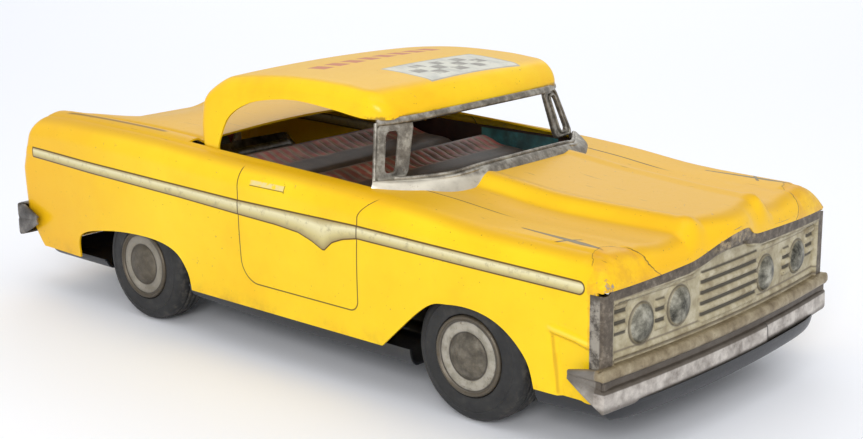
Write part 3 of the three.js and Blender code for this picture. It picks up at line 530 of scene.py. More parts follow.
def arch_outline(axle, keys):
    """A wheel arch's outline, from places about the axle, closed below the sill."""
    curve = smooth_line([(axle + a, b) for a, b in keys])
    return [(axle + keys[0][0], 2.0)] + curve + [(axle + keys[-1][0], 2.0)]


FRONT_ARCH = [(-24.0, 12.3), (-10.9, 23.9), (-3.5, 26.2), (4.5, 26.2), (11.2, 23.7), (16.6, 18.4), (18.6, 12.3)]
REAR_ARCH = [(-26.0, 12.3), (-24.6, 19.0), (-10.8, 22.4), (5.1, 23.4), (15.0, 21.8), (19.7, 17.4), (21.2, 12.3)]
PANEL_EDGE = 95.2
COWL_LINE = [(29.8, 37.4), (33.8, 34.2), (37.2, 30.0), (41.4, 23.2), (43.6, 15.5), (44.0, 0)]
TAIL_OPENING = (34.6, 26.4, 37.6)


def rounded_box(low_a, high_a, low_b, high_b, radius):
    """A rectangle with round corners, as a list of points."""
    points = []
    for turn, a, b in (
        (0, high_a - radius, high_b - radius),
        (90, low_a + radius, high_b - radius),
        (180, low_a + radius, low_b + radius),
        (270, high_a - radius, low_b + radius),
    ):
        for step in range(7):
            angle = math.radians(turn + 15 * step)
            points.append((a + radius * math.cos(angle), b + radius * math.sin(angle)))
    return points


outer = body_grid()
outer = np.concatenate([tail_wall(outer[0])[:-1], outer], axis=0)
body = sheet_object("body_pressing", outer, wall=SHEET)
cabin = [(CABIN_REAR - 0.3, -OPENING)] + smooth_line([(x, -y) for x, y in COWL_LINE])
cabin = cabin + [(x, -y) for x, y in reversed(cabin[:-1])]
tail_half, tail_low, tail_high = TAIL_OPENING
tools = [
    cutter("front_arches", arch_outline(FRONT_AXLE, FRONT_ARCH), -60, 60, "Y"),
    cutter("rear_arches", arch_outline(REAR_AXLE, REAR_ARCH), -60, 60, "Y"),
    cutter("cabin_opening", cabin, 40, 70, "Z"),
    cutter("nose_opening", [(PANEL_EDGE, 4), (120, 4), (120, 36.2), (PANEL_EDGE + 0.8, 36.2)], -60, 60, "Y"),
    cutter("tail_opening", rounded_box(-tail_half, tail_half, tail_low, tail_high, 3), -120, TAIL - 0.9, "X"),
]
cut(body, tools)
smoothed(body)

YELLOW = (0.90, 0.58, 0.008)
AMBER = (0.82, 0.42, 0.008)
# TOP_SHEEN is a painted sheen: the duller tan that the white surround's reflection gives the upward faces.
TOP_SHEEN = (0.68, 0.39, 0.03)
OCHRE = (0.66, 0.36, 0.006)
TRIM_CREAM = (0.58, 0.50, 0.23)
# Brown for the printed lines, and for the painted shade in the deck's crease.
INK_AND_SHADE_BROWN = (0.06, 0.03, 0.012)
BARE_METAL = (0.42, 0.39, 0.33)
GRIME = (0.10, 0.055, 0.02)


def graph_of(x, keys, low=-100.0, high=100.0, tall=64.0):
    """The height of a line of (place, height) keys at x, for a material."""
    stops = [((a - low) / (high - low), (b / tall,) * 3) for a, b in keys]
    return (((x - low) / (high - low)).node("ValToRGB", {"stops": stops}, Fac=(x - low) / (high - low))) * tall


def line_mask(distance, half, soft=0.08):
    """1 within half of a line that lies where the distance is 0."""
    return 1 - abs(distance).ease(half - soft, half + soft)


def hypot(a, b):
    return (a * a + b * b) ** 0.5


def body_paint(place, x, y, z):
    across = abs(y)
    up = place.node("SeparateXYZ", None, 2, i0=place.node("NewGeometry", None, 1))
    cloud = place.grain(0.035, 4, 0.6)
    fine = place.grain(0.8, 4, 0.7)
    tone = place.node(
        "ValToRGB", {"stops": [(0.32, (0.86, 0.50, 0.006)), (0.5, YELLOW), (0.7, (0.93, 0.63, 0.012))]}, Fac=cloud
    )
    rear = (0 - x).ease(30, 100) * 0.6 + across.ease(43, 30) * x.ease(70, 98) * 0.5
    tone = flat_tone(place, AMBER).over(tone, rear * (0.5 + cloud))
    # Painted sheen: the upward faces are painted darker ochre, and the middle of the tops a duller tan, for the white
    # surround's reflection on the gloss.
    tone = flat_tone(place, OCHRE).over(tone, up.ease(0.6, 0.95) * 0.8)
    tone = flat_tone(place, TOP_SHEEN).over(tone, up.ease(0.8, 0.98) * across.ease(31, 25) * (0.4 + 0.6 * place.grain(0.06, 5, 0.65)))

    side = across.ease(37, 39) * (1 - up.ease(0.75, 0.9))
    top = graph_of(x, TRIM_TOP)
    bottom = graph_of(x, TRIM_BOTTOM)
    inside = (top - z).least(z - bottom)
    end = 1.28 - hypot((x - 91.6).most(0), z - 36.42) + (91.6 - x).most(0) * 10
    inside = inside.least(end).least((x + 93.4) * 1.0)
    trim = inside.ease(-0.05, 0.12) * side
    share = (z - bottom) / (top - bottom)
    # The lighter band about three quarters of the way up the trim is a painted highlight along the raised strip.
    cream = place.node(
        "ValToRGB",
        {"stops": [(0.0, (0.30, 0.22, 0.09)), (0.35, TRIM_CREAM), (0.72, (0.76, 0.70, 0.44)), (0.95, (0.38, 0.29, 0.11))]},
        Fac=share,
    )
    cream = flat_tone(place, (0.30, 0.25, 0.15)).over(cream, place.grain(0.5, 5, 0.7).ease(0.5, 0.75) * 0.7)
    tone = cream.over(tone, trim)
    edge_line = line_mask(inside, 0.17) * side

    bend = (x - 12).ease(0, 4) * ((z - 41).most(0) ** 1.6) * 0.42
    lean = (x - 12).ease(0, 4) * (z - 20) * 0.045
    radius = 5.6 - (x - 10).ease(-4, 4) * 3.2
    out_x = abs(x - bend - lean - 11.3) - (19.3 - radius)
    out_z = (18.9 + radius) - z
    door = hypot(out_x.most(0), out_z.most(0)) - radius + out_x.most(out_z).least(0)
    door_line = line_mask(door, 0.16) * side
    seam = line_mask(across - 29.6 + (x - 49) * 0.02, 0.22) * x.ease(35, 38) * (1 - x.ease(58, 66)) * up.ease(0.5, 0.8)
    # Painted shade: a soft dark line in the deck's crease at each side.
    deck_crease_shade = line_mask(across - 36.3, 0.5, 0.45) * x.within(-85, -43.5, 1.5) * up.ease(0.5, 0.8) * 0.75
    lines = edge_line.most(door_line).most(seam).most(deck_crease_shade)

    dart_y = abs(across - 35.0 - (x - 71) * 0.085)
    dart_half = 0.08 + (x - 71).least((92 - x) * 3.2).most(0) * 0.034
    dart = (dart_half - dart_y).ease(-0.05, 0.12) * x.within(71, 92, 0.4)
    cross_x = abs(x - 83.8 + (across - 36) * 0.78)
    cross = (0.22 - cross_x).ease(-0.1, 0.15) * across.within(34.3, 38.0, 0.2)
    ornament = dart.most(cross) * up.ease(0.4, 0.7)
    rim = (dart_half + 0.2 - dart_y).ease(-0.05, 0.12) * x.within(70.6, 92.4, 0.4)
    rim = rim.most((0.45 - cross_x).ease(-0.1, 0.15) * across.within(34.0, 38.3, 0.2)) * up.ease(0.4, 0.7)
    tone = flat_tone(place, INK_AND_SHADE_BROWN).over(tone, rim * 0.85)
    tone = flat_tone(place, (0.20, 0.17, 0.09)).over(tone, ornament)

    # Painted light round the scoop: the fold at its front edge and the line under its ledge are painted shade, and the
    # line along the ledge's top is a painted highlight.
    fold = line_mask(x - 84.7 - (26 - z) * 0.1, 0.3, 0.25) * z.within(13, 26, 0.5)
    ledge_shadow = line_mask(z - 25.6 + (x - 84) * 0.15, 0.4, 0.35) * x.within(84.6, 95, 0.5)
    tone = flat_tone(place, (0.50, 0.25, 0.01)).over(tone, fold.most(ledge_shadow) * side * 0.55)
    lit = line_mask(z - 26.9 + (x - 84) * 0.15, 0.35, 0.25) * x.within(84, 95, 0.5)
    tone = flat_tone(place, (0.96, 0.72, 0.10)).over(tone, lit * side * 0.5)
    handle = x.within(-3.6, 7.6, 0.2) * z.within(43.1, 44.2, 0.15) * side
    tone = flat_tone(place, (0.74, 0.62, 0.28)).over(tone, handle * place.grain(0.7, 4, 0.7).ease(0.35, 0.5) * 0.9)
    under_handle = line_mask(z - 43.0, 0.12).most(line_mask(x - 7.8, 0.14) * z.within(42.6, 44.4, 0.1))
    lines = lines.most(under_handle * x.within(-3.8, 8.0, 0.2) * z.within(42.4, 44.6, 0.1) * side * 0.8)
    # The deck crease among these lines is painted shade.
    tone = flat_tone(place, INK_AND_SHADE_BROWN).over(tone, lines * 0.92)

    # Wear: bare spots along the nose and belt, grime in the corners, and fine scratches on the hood.
    lip = graph_of(y, [(-44, 36.3), (-17, 37.1), (-6.7, 39.4), (-1.5, 40.4), (4.6, 40.3), (7.6, 38.4), (44, 36.7)])
    nose_edge = (1 - (z - lip).ease(0.3, 3.2)) * x.ease(93, 96.5)
    corner = across.ease(39.5, 42.5) * x.ease(94, 97) * z.within(30, 44, 2)
    belt = z.within(43.4, 46.0, 0.8) * across.within(39, 43.6, 0.8) * x.within(-4, 12, 2)
    worn = nose_edge * 0.13 + corner * 0.3 + belt * 0.12
    flecks = place.grain(0.75, 5, 0.75)
    chips = (flecks + worn * 0.42).ease(0.70, 0.735)
    ring = (flecks + worn * 0.42).ease(0.655, 0.70)
    tone = flat_tone(place, (0.42, 0.20, 0.03)).over(tone, ring * 0.75)
    tone = flat_tone(place, BARE_METAL).over(tone, chips)
    waver = (place.grain(0.5, 3, 0.6) - 0.5) * 1.6
    brow = graph_of(z, [(34, 25.0), (36, 25.8), (38, 28.3), (39.5, 29.7), (41.5, 30.4), (43, 32.2)], 0.0, 60.0)
    crack = line_mask(across - brow + waver, 0.16) * x.ease(93.6, 94.6) * z.within(35, 42.6, 0.3)
    behind = graph_of(across, [(31, 94.6), (33, 92.4), (36, 91.2), (39, 91.6), (42, 93.6)], 20.0, 60.0, 128.0)
    crack = crack.most(line_mask(x - behind + waver, 0.12) * across.within(31.4, 41.5, 0.3) * up.ease(0.3, 0.5) * 0.7)
    patch = (across - brow + waver).ease(0, 0.4) * (x - behind + waver).ease(0, 0.4)
    tone = flat_tone(place, (0.66, 0.33, 0.02)).over(tone, patch * place.grain(0.25, 4, 0.7).ease(0.3, 0.7) * 0.75)
    streak = place.node("VectorMath", {"operation": "MULTIPLY"}, i0=place, i1=(0.10, 1.6, 1.0))
    scratch = streak.grain(0.9, 3, 0.5).ease(0.695, 0.73) * up.ease(0.6, 0.9) * 0.45
    specks = place.grain(1.6, 2, 0.5).ease(0.735, 0.76) * 0.7
    tone = flat_tone(place, GRIME).over(tone, crack.most(scratch).most(specks) * 0.85)
    # Darker orange towards the bottom edge, in mottled patches.
    low_darkening = (1 - z.ease(12, 17)) * place.grain(0.15, 4, 0.7).ease(0.35, 0.8) * 0.5
    tone = flat_tone(place, (0.35, 0.17, 0.02)).over(tone, low_darkening)
    bump_height = fine * 0.18 - lines * 0.5 - chips * 0.8 - crack * 1.2 + place.grain(0.11, 3, 0.5) * 2.2
    return {
        "Base Color": tone,
        "Roughness": 0.24 + fine * 0.16 + up.ease(0.8, 1.0) * 0.1 + chips * 0.15,
        "Metallic": chips * 0.8,
        "Specular IOR Level": 0.14,
        "Coat Weight": (1 - up.ease(0.6, 0.95)) * 0.18 + 0.02,
        "Coat Roughness": 0.12,
        "Normal": bumped(bump_height, 0.35, 0.12),
    }


body.data.materials.clear()
body.data.materials.append(finish_of("yellow_print", body_paint))
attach(body, "car_body")
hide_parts("body_shell")

# --- Roof pressing ------------------------------------------------------------------------------------------
# A second sheet, printed like the body and pressed into a crowned cap on two rear pillars. The pillars' feet go
# down inside the belt opening, and the front corners rest on the windshield frame.

roof_low, roof_high = (tuple(c / MM for c in corner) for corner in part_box("roof_panel"))
ROOF_REAR = roof_low[0]
ROOF_FRONT = 31.2
ROOF_FOOT = roof_high[1] + 0.1
FOOT_Z = roof_low[2]
EAVE = 60.4
FRONT_LIP = 60.4
REAR_LIP = 57.4
FRONT_ROLL = 6.0
REAR_ROLL = 9.0
CORNER = 3.3

crown_height = through([(ROOF_REAR, 63.4), (-22, 65.6), (-4, 67.4), (14, 67.5), (24, 66.9), (ROOF_FRONT, 66.3)])


def roof_grid():
    """The outer surface of the roof, from the near pillar's foot over the top to the far one's."""
    x = np.concatenate(
        [
            ROOF_REAR + REAR_ROLL * (1 - np.cos(np.linspace(0, math.pi / 2, 15))),
            np.linspace(ROOF_REAR + REAR_ROLL, ROOF_FRONT - FRONT_ROLL, 80)[1:-1],
            ROOF_FRONT - FRONT_ROLL * (1 - np.sin(np.linspace(0, math.pi / 2, 17))),
        ]
    )[:, None]
    rear_share = turned_in(x, ROOF_REAR, REAR_ROLL) / REAR_ROLL
    front_share = turned_in(x, ROOF_FRONT, FRONT_ROLL) / FRONT_ROLL
    top = crown_height(x)
    top = top - (top - REAR_LIP) * rear_share - (top - FRONT_LIP) * front_share
    corner = CORNER * (1 - 0.85 * front_share)
    draw_in = 4.6 * front_share + 1.5 * turned_in(x, ROOF_REAR, 3.2)
    edge_z = top - 0.7 * (1 - front_share) - corner
    t = np.linspace(0, 1, 60)[None, :-1]
    side_z = FOOT_Z + (edge_z - FOOT_Z) * t
    wall = np.interp(side_z, [FOOT_Z, 47, 60.5, 66], [ROOF_FOOT - 0.5, ROOF_FOOT, 33.4, 32.4])
    tuck = 0.9 * (1 - soft_step(side_z, 45.5, 49.5))
    side_y = wall - tuck - draw_in
    reach = np.interp(edge_z, [FOOT_Z, 47, 60.5, 66], [ROOF_FOOT - 0.5, ROOF_FOOT, 33.4, 32.4]) - draw_in - corner
    a = np.linspace(0, math.pi / 2, 13)[None, :-1]
    corner_y = reach + corner * np.cos(a)
    corner_z = edge_z + corner * np.sin(a)
    s = np.linspace(0, 1, 60)[None, :]
    top_y = reach * (1 - s)
    top_z = edge_z + corner + (top - edge_z - corner) * (1 - (1 - s) ** 2)
    half_y = np.concatenate([side_y + 0 * x, corner_y + 0 * x, top_y + 0 * x], axis=1)
    half_z = np.concatenate([side_z + 0 * x, corner_z + 0 * x, top_z + 0 * x], axis=1)
    y = np.concatenate([-half_y, half_y[:, -2::-1]], axis=1)
    z = np.concatenate([half_z, half_z[:, -2::-1]], axis=1)
    forward = 3.6 * (1 - soft_step(z, 45, 57)) * (1 - soft_step(x, ROOF_REAR + 1, -18))
    bow = 3.2 * (y / 33) ** 2 * soft_step(x, 4, ROOF_FRONT)
    return np.stack([x + forward - bow, y, z], axis=-1)


SIDE_WINDOW = [
    (-21.4, 46.0), (-21.7, 50.5), (-20.2, 56.0), (-14.7, 59.6), (-7, 61.4),
    (2, 62.2), (12.8, 61.6), (22, 60.7), (30, FRONT_LIP - 0.2), (40, FRONT_LIP - 0.2),
]
roof = sheet_object("roof_pressing", roof_grid(), wall=SHEET)
window = smooth_line(SIDE_WINDOW) + [(40, 38), (-20.0, 38), (-20.8, 43)]
cut(roof, [cutter("side_windows", window, -60, 60, "Y")])
smoothed(roof)

SIGN_PANEL = (10.2, 26.8, -13.6, 19.0)
ROOF_BAND = (-7.2, -1.2, 22.0)


def roof_paint(place, x, y, z):
    across = abs(y)
    up = place.node("SeparateXYZ", None, 2, i0=place.node("NewGeometry", None, 1))
    cloud = place.grain(0.045, 4, 0.6)
    fine = place.grain(0.8, 4, 0.7)
    tone = place.node(
        "ValToRGB", {"stops": [(0.32, (0.88, 0.50, 0.006)), (0.5, YELLOW), (0.7, (0.93, 0.63, 0.012))]}, Fac=cloud
    )
    tone = flat_tone(place, (0.88, 0.47, 0.008)).over(tone, (1 - x.ease(-34, -16)) * 0.7)
    # Painted sheen: the roof's upward faces are painted a duller tan, in mottled patches, for the white surround's
    # reflection.
    tone = flat_tone(place, TOP_SHEEN).over(tone, up.ease(0.82, 0.98) * (0.5 + 0.5 * place.grain(0.05, 5, 0.65)))

    # The sign on the roof is a plain chequer, and a row of plain red blocks runs across behind it.
    x0, x1, y0, y1 = SIGN_PANEL
    on_top = up.ease(0.8, 0.9)
    panel = x.within(x0, x1, 0.12) * y.within(y0, y1, 0.12) * on_top
    check_x = ((x - 13.0) / 3.6).maths("FLOOR", (x - 13.0) / 3.6)
    check_y = ((y + 10.8) / 3.6).maths("FLOOR", (y + 10.8) / 3.6)
    odd = (check_x + check_y).maths("MODULO", check_x + check_y + 40, 2)
    inner = x.within(13.0, 23.8, 0.1) * y.within(-10.8, 14.4, 0.1)
    smudge = place.grain(0.22, 4, 0.6)
    ground = flat_tone(place, (0.42, 0.45, 0.44)).over(flat_tone(place, (0.58, 0.60, 0.55)), smudge.ease(0.4, 0.7))
    sign = flat_tone(place, (0.13, 0.14, 0.15)).over(ground, odd * inner * smudge.ease(0.3, 0.5) * 0.8)
    border = panel * (1 - x.within(x0 + 0.5, x1 - 0.5, 0.1) * y.within(y0 + 0.5, y1 - 0.5, 0.1))
    tone = sign.over(tone, panel * 0.92)
    tone = flat_tone(place, (0.25, 0.20, 0.14)).over(tone, border * 0.6)
    low, high, reach = ROOF_BAND
    block = (((y + 22.0) / 5.5).maths("FRACT", (y + 22.0) / 5.5)).within(0.16, 0.84, 0.02)
    blocks = x.within(low, high, 0.12) * across.ease(reach + 0.2, reach - 0.2) * block * on_top
    red = flat_tone(place, (0.36, 0.035, 0.03)).over(flat_tone(place, (0.50, 0.09, 0.06)), place.grain(0.4, 4, 0.7))
    tone = red.over(tone, blocks * (0.55 + 0.4 * smudge))

    flecks = place.grain(0.8, 5, 0.75)
    front_edge = x.ease(27.5, 30.5) * (1 - z.ease(61.2, 63.8))
    ridge = x.ease(24, 29) * z.within(63.4, 66.2, 0.8) * 0.8
    worn = front_edge.most(ridge) * 0.16
    chips = (flecks + worn * 0.4).ease(0.735, 0.765)
    ring = (flecks + worn * 0.4).ease(0.69, 0.735)
    tone = flat_tone(place, (0.36, 0.17, 0.03)).over(tone, ring * 0.7)
    tone = flat_tone(place, (0.30, 0.25, 0.18)).over(tone, chips * 0.9)
    specks = place.grain(1.5, 2, 0.5).ease(0.735, 0.76) * 0.6
    lip = (1 - z.ease(60.6, 61.4)) * x.ease(22, 26) * place.grain(0.35, 4, 0.7).ease(0.42, 0.56) * 0.7
    tone = flat_tone(place, GRIME).over(tone, specks.most(lip))
    # Painted shade: the pillars' feet are painted dark below the belt, where they go down inside the body's opening.
    foot = (1 - z.ease(46.0, 49.5)) * 0.75
    tone = flat_tone(place, (0.20, 0.09, 0.015)).over(tone, foot)
    height = fine * 0.18 - chips * 0.6 + place.grain(0.12, 3, 0.5) * 1.8
    return {
        "Base Color": tone,
        "Roughness": 0.25 + fine * 0.15 + up.ease(0.8, 1.0) * 0.12,
        "Metallic": chips * 0.7,
        "Specular IOR Level": 0.14,
        "Coat Weight": (1 - up.ease(0.6, 0.95)) * 0.18 + 0.02,
        "Coat Roughness": 0.12,
        "Normal": bumped(height, 0.35, 0.12),
    }


roof.data.materials.clear()
roof.data.materials.append(finish_of("yellow_roof_print", roof_paint))
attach(roof, "car_body")
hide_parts("roof_panel")

# --- Windshield frame ---------------------------------------------------------------------------------------
# One bare tin pressing: a sloping flange that follows the cowl, a rail under the roof's front lip, and at each
# side a vent light, a small upright loop with a rolled bead round it. Tabs under the flange hold it.

FLANGE_OUTER = [
    (30.2, 37.9, 45.9), (34.6, 35.0, 46.0), (38.6, 30.8, 46.0), (42.8, 23.6, 46.6), (44.8, 16, 47.9), (45.2, 0, 48.3),
]
FLANGE_INNER = [
    (30.0, 37.0, 47.1), (33.3, 33.4, 47.2), (36.4, 29.2, 47.2), (40.8, 22.6, 47.7), (43.4, 15.0, 48.8), (43.8, 0, 49.0),
]
VENT_FOOT = [(29.8, 36.2, 46.9), (31.2, 27.4, 47.1)]
VENT_HEAD = [(26.8, 32.2, 59.4), (29.9, 23.6, 59.8)]
TOP_RAIL = [(26.8, 32.2, 59.6), (29.0, 28.0, 59.8), (30.6, 23.0, 60.0), (31.8, 14, 60.3), (32.2, 0, 60.4)]


def mirrored_line(points, steps=8):
    """A smooth line of 3D points from the near side to the far side, from its far half."""
    half = smooth_line(points, steps)
    near = [(x, -y, z) for x, y, z in half]
    return np.array(near + half[-2::-1])


def tube_along(path, wide, deep, facing, sides=12, close=False):
    """A bar of rounded section along a path, wide across it and deep along its facing direction."""
    path = np.array(path, float)
    ahead = np.roll(path, -1, axis=0) - np.roll(path, 1, axis=0)
    if not close:
        ahead[0] = path[1] - path[0]
        ahead[-1] = path[-1] - path[-2]
    ahead /= np.linalg.norm(ahead, axis=1, keepdims=True)
    face = np.broadcast_to(np.array(facing, float), path.shape)
    face = face - ahead * np.sum(face * ahead, axis=1, keepdims=True)
    face /= np.linalg.norm(face, axis=1, keepdims=True)
    aside = np.cross(ahead, face)
    a = np.linspace(0, 2 * math.pi, sides + 1)[:-1]
    along_side = np.sign(np.cos(a)) * np.abs(np.cos(a)) ** 0.7 * wide / 2
    along_face = np.sign(np.sin(a)) * np.abs(np.sin(a)) ** 0.7 * deep / 2
    return path[:, None, :] + aside[:, None, :] * along_side[None, :, None] + face[:, None, :] * along_face[None, :, None]


def joined(name, parts):
    """One object from several ones, as the pieces of one pressing."""
    mesh = bpy.data.meshes.new(name)
    form = bmesh.new()
    for part in parts:
        applied(part)
        form.from_mesh(part.data)
        bpy.data.objects.remove(part)
    form.to_mesh(mesh)
    form.free()
    made = bpy.data.objects.new(name, mesh)
    bpy.context.scene.collection.objects.link(made)
    return made


def capped(made):
    """Closes the open ends of a tube."""
    form = bmesh.new()
    form.from_mesh(made.data)
    bmesh.ops.holes_fill(form, edges=form.edges, sides=0)
    bmesh.ops.recalc_face_normals(form, faces=form.faces)
    form.to_mesh(made.data)
    form.free()
    return made


def bar_object(name, path, wide, deep, facing, close=False):
    rings = tube_along(path, wide, deep, facing, close=close)
    if close:
        rings = np.concatenate([rings, rings[:1]], axis=0)
    return capped(sheet_object(name, rings, closed=True))


frame_parts = []
outer_line = mirrored_line(FLANGE_OUTER)
outer_x, outer_y = outer_line[:, 0], np.abs(outer_line[:, 1])
outer_line[:, 2] = crest_height(outer_x) + top_rise(outer_x, outer_y, HALF - SHOULDER) + 0.1
inner_line = mirrored_line(FLANGE_INNER)
share = np.linspace(0, 1, 9)[None, :, None]
flange = outer_line[:, None, :] * (1 - share) + inner_line[:, None, :] * share
flange[:, :, 2] += 0.35 * np.sin(share[..., 0] * math.pi)
frame_parts.append(sheet_object("flange", flange, wall=0.45))
frame_parts.append(bar_object("flange_bead", inner_line, 1.3, 1.0, (0.3, 0, 1)))
frame_parts.append(bar_object("top_rail", mirrored_line(TOP_RAIL), 1.7, 1.5, (1, 0, 0.4)))
sill_line = mirrored_line([(x - 0.6, y - 0.3, z + 0.7) for x, y, z in FLANGE_INNER[1:]])
frame_parts.append(bar_object("window_sill", sill_line, 0.9, 0.9, (0.3, 0, 1)))
for side in (-1, 1):
    foot = [np.array((x, side * y, z)) for x, y, z in VENT_FOOT]
    head = [np.array((x, side * y, z)) for x, y, z in VENT_HEAD]
    out = np.cross(foot[1] - foot[0], head[0] - foot[0]) * side
    out = -out / np.linalg.norm(out)

    def on_vent(u, v):
        low = foot[0] * (1 - u) + foot[1] * u
        high = head[0] * (1 - u) + head[1] * u
        return low * (1 - v) + high * v

    bars = rounded_box(0.0, 1.0, 0.0, 1.0, 0.16)
    opening = rounded_box(0.24, 0.60, 0.13, 0.84, 0.11)
    steps = np.linspace(0, 1, 6)[None, :, None]
    rim_points = np.array([on_vent(u, v) for u, v in bars])[:, None, :]
    hole_points = np.array([on_vent(u, v) for u, v in opening])[:, None, :]
    plate = rim_points * (1 - steps) + hole_points * steps
    plate = np.concatenate([plate, plate[:1]], axis=0)
    vent_plate = sheet_object("vent_plate", plate, wall=0.5)
    vent_plate.data.polygons.foreach_set("material_index", [1] * len(vent_plate.data.polygons))
    frame_parts.append(vent_plate)
    for corners in (rounded_box(0.05, 0.97, 0.03, 0.96, 0.12), rounded_box(0.20, 0.64, 0.10, 0.87, 0.13)):
        path = [on_vent(u, v) + out * 0.12 for u, v in corners]
        frame_parts.append(bar_object("vent_bead", path, 0.75, 0.8, out, close=True))
    post = [on_vent(0.02, v) - np.array((0.5, 0, 0)) for v in np.linspace(-0.08, 1.0, 8)]
    frame_parts.append(bar_object("post_edge", post, 0.9, 0.9, out))

shield = smoothed(joined("windshield_pressing", frame_parts), 40)


def bare_tin_paint(place, x, y, z):
    blotch = place.grain(0.35, 5, 0.65)
    fine = place.grain(1.8, 4, 0.7)
    tone = place.node(
        "ValToRGB",
        {"stops": [(0.30, (0.10, 0.09, 0.075)), (0.48, (0.23, 0.21, 0.18)), (0.62, (0.42, 0.40, 0.35))]},
        Fac=blotch,
    )
    worn = (1 - z.ease(47.2, 48.2)) * y.ease(-8, -16) * (blotch + 0.2).ease(0.42, 0.58)
    worn = worn.most(place.grain(0.9, 4, 0.7).ease(0.58, 0.68) * 0.45)
    tone = flat_tone(place, (0.62, 0.58, 0.49)).over(tone, worn * (0.5 + blotch * 0.8).least(1))
    rust = place.grain(0.5, 5, 0.7).ease(0.62, 0.72)
    tone = flat_tone(place, (0.13, 0.075, 0.04)).over(tone, rust * 0.75)
    return {
        "Base Color": tone,
        "Roughness": 0.34 + fine * 0.25 - worn * 0.1,
        "Metallic": 0.75 - rust * 0.5,
        "Normal": bumped(fine * 0.6 + blotch, 0.3, 0.1),
    }


def dull_tin_paint(place, x, y, z):
    """The vent lights' sheet between its beads, where the plating has gone dark."""
    blotch = place.grain(0.45, 5, 0.65)
    fine = place.grain(1.8, 4, 0.7)
    tone = place.node(
        "ValToRGB",
        {"stops": [(0.30, (0.04, 0.034, 0.027)), (0.50, (0.10, 0.088, 0.072)), (0.68, (0.20, 0.18, 0.15))]},
        Fac=blotch,
    )
    return {
        "Base Color": tone,
        "Roughness": 0.45 + fine * 0.25,
        "Metallic": 0.4 + blotch * 0.3,
        "Normal": bumped(fine * 0.6 + blotch, 0.3, 0.1),
    }


shield.data.materials.clear()
shield.data.materials.append(finish_of("bare_tin", bare_tin_paint))
shield.data.materials.append(finish_of("dull_tin", dull_tin_paint))
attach(shield, "car_body")
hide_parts("windshield_frame")

# --- Grille panel -------------------------------------------------------------------------------------------
# A printed tin sheet embossed from behind: four lamp domes, the bars between them, two long steps at the foot
# and a rolled frame whose sides turn back over the ends of the body. It is tabbed in behind the hood's edge.

grille_low, grille_high = (tuple(c / MM for c in corner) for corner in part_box("grille_panel"))
GRILLE_HALF = HALF - 0.35
GRILLE_FOOT = grille_low[2]
GRILLE_FRAME = 2.5
LAMP_ROW = 28.0
# Each lamp's middle, and its half width and half height: the dies were set by eye, so no two quite match.
LAMPS = ((-31.2, 27.5, 3.6, 4.1), (-19.0, 28.4, 3.6, 4.0), (14.9, 27.7, 3.5, 3.9), (30.4, 28.0, 3.5, 3.7))
BAR_PITCH = 2.35


def nose_face(y):
    return NOSE + NOSE_BULGE * (1 - (y / HALF) ** 2)


def grille_grid():
    y = np.linspace(-GRILLE_HALF, GRILLE_HALF, 420)[:, None]
    t = np.linspace(0, 1, 130)[None, :]
    across = np.abs(y)
    top = hood_lip(y) + 0.9 - 1.6 * soft_step(across, 40.3, 42.2)
    z = GRILLE_FOOT + (top - GRILLE_FOOT) * t
    frame_top = top - 0.9 - GRILLE_FRAME
    field = soft_step(z, 20.2, 20.9) * (1 - soft_step(z, frame_top - 0.5, frame_top + 0.1))
    field = field * (1 - soft_step(across, GRILLE_HALF - GRILLE_FRAME - 0.5, GRILLE_HALF - GRILLE_FRAME + 0.1))
    relief = 0.35 - 1.15 * field
    for middle_y, middle_z, wide, tall in LAMPS:
        away = np.hypot((y - middle_y) / wide, (z - middle_z) / tall)
        relief = relief + 1.7 * np.sqrt(np.clip(1 - away**2, 0, 1)) + 0.25 * np.exp(-(((away - 1.14) / 0.09) ** 2))
    wave = 0.5 + 0.5 * np.cos(2 * math.pi * (z - LAMP_ROW) / BAR_PITCH)
    middle = (1 - soft_step(across, 10.6, 11.6)) * soft_step(z, 22.2, 23) * (1 - soft_step(z, 33.6, 34.2))
    between = soft_step(across, 23.4, 24.0) * (1 - soft_step(across, 26.2, 26.8))
    between = between * soft_step(z, 24.6, 25.2) * (1 - soft_step(z, 31, 31.6))
    outside = soft_step(across, 35.6, 36.2) * (1 - soft_step(across, 39.0, 39.6))
    outside = outside * soft_step(z, 26.2, 26.8) * (1 - soft_step(z, 33.4, 34))
    relief = relief + 0.75 * wave**1.5 * np.clip(middle + between + outside, 0, 1)
    step_up = np.exp(-(((z - 22.3) / 0.45) ** 2)) + np.exp(-(((z - 20.9) / 0.5) ** 2))
    upper = np.exp(-(((z - 33.7) / 0.3) ** 2)) * soft_step(across, 12.5, 14)
    relief = relief + (0.55 * step_up + 0.35 * upper) * (across < GRILLE_HALF - GRILLE_FRAME)
    badge = 0.9 * hump(y, -1.2, 8.6) * soft_step(z, 36.4, 37.6)
    x = nose_face(y) - 0.35 + relief + badge
    front = np.stack([x, y + 0 * x, z + 0 * x], axis=-1)
    back_rows = []
    for step in np.linspace(0, 1, 6)[1:]:
        edge = front[0].copy()
        edge[:, 0] -= 2.9 * step
        edge[:, 1] -= 0.12 * min(1, step * 4)
        back_rows.append(edge)
    near_return = np.stack(back_rows[::-1])
    far_return = near_return[::-1] * np.array([1, -1, 1])
    return np.concatenate([near_return, front, far_return], axis=0)


grille = sheet_object("grille_pressing", grille_grid(), wall=0.4)
applied(grille)
smoothed(grille, 50)


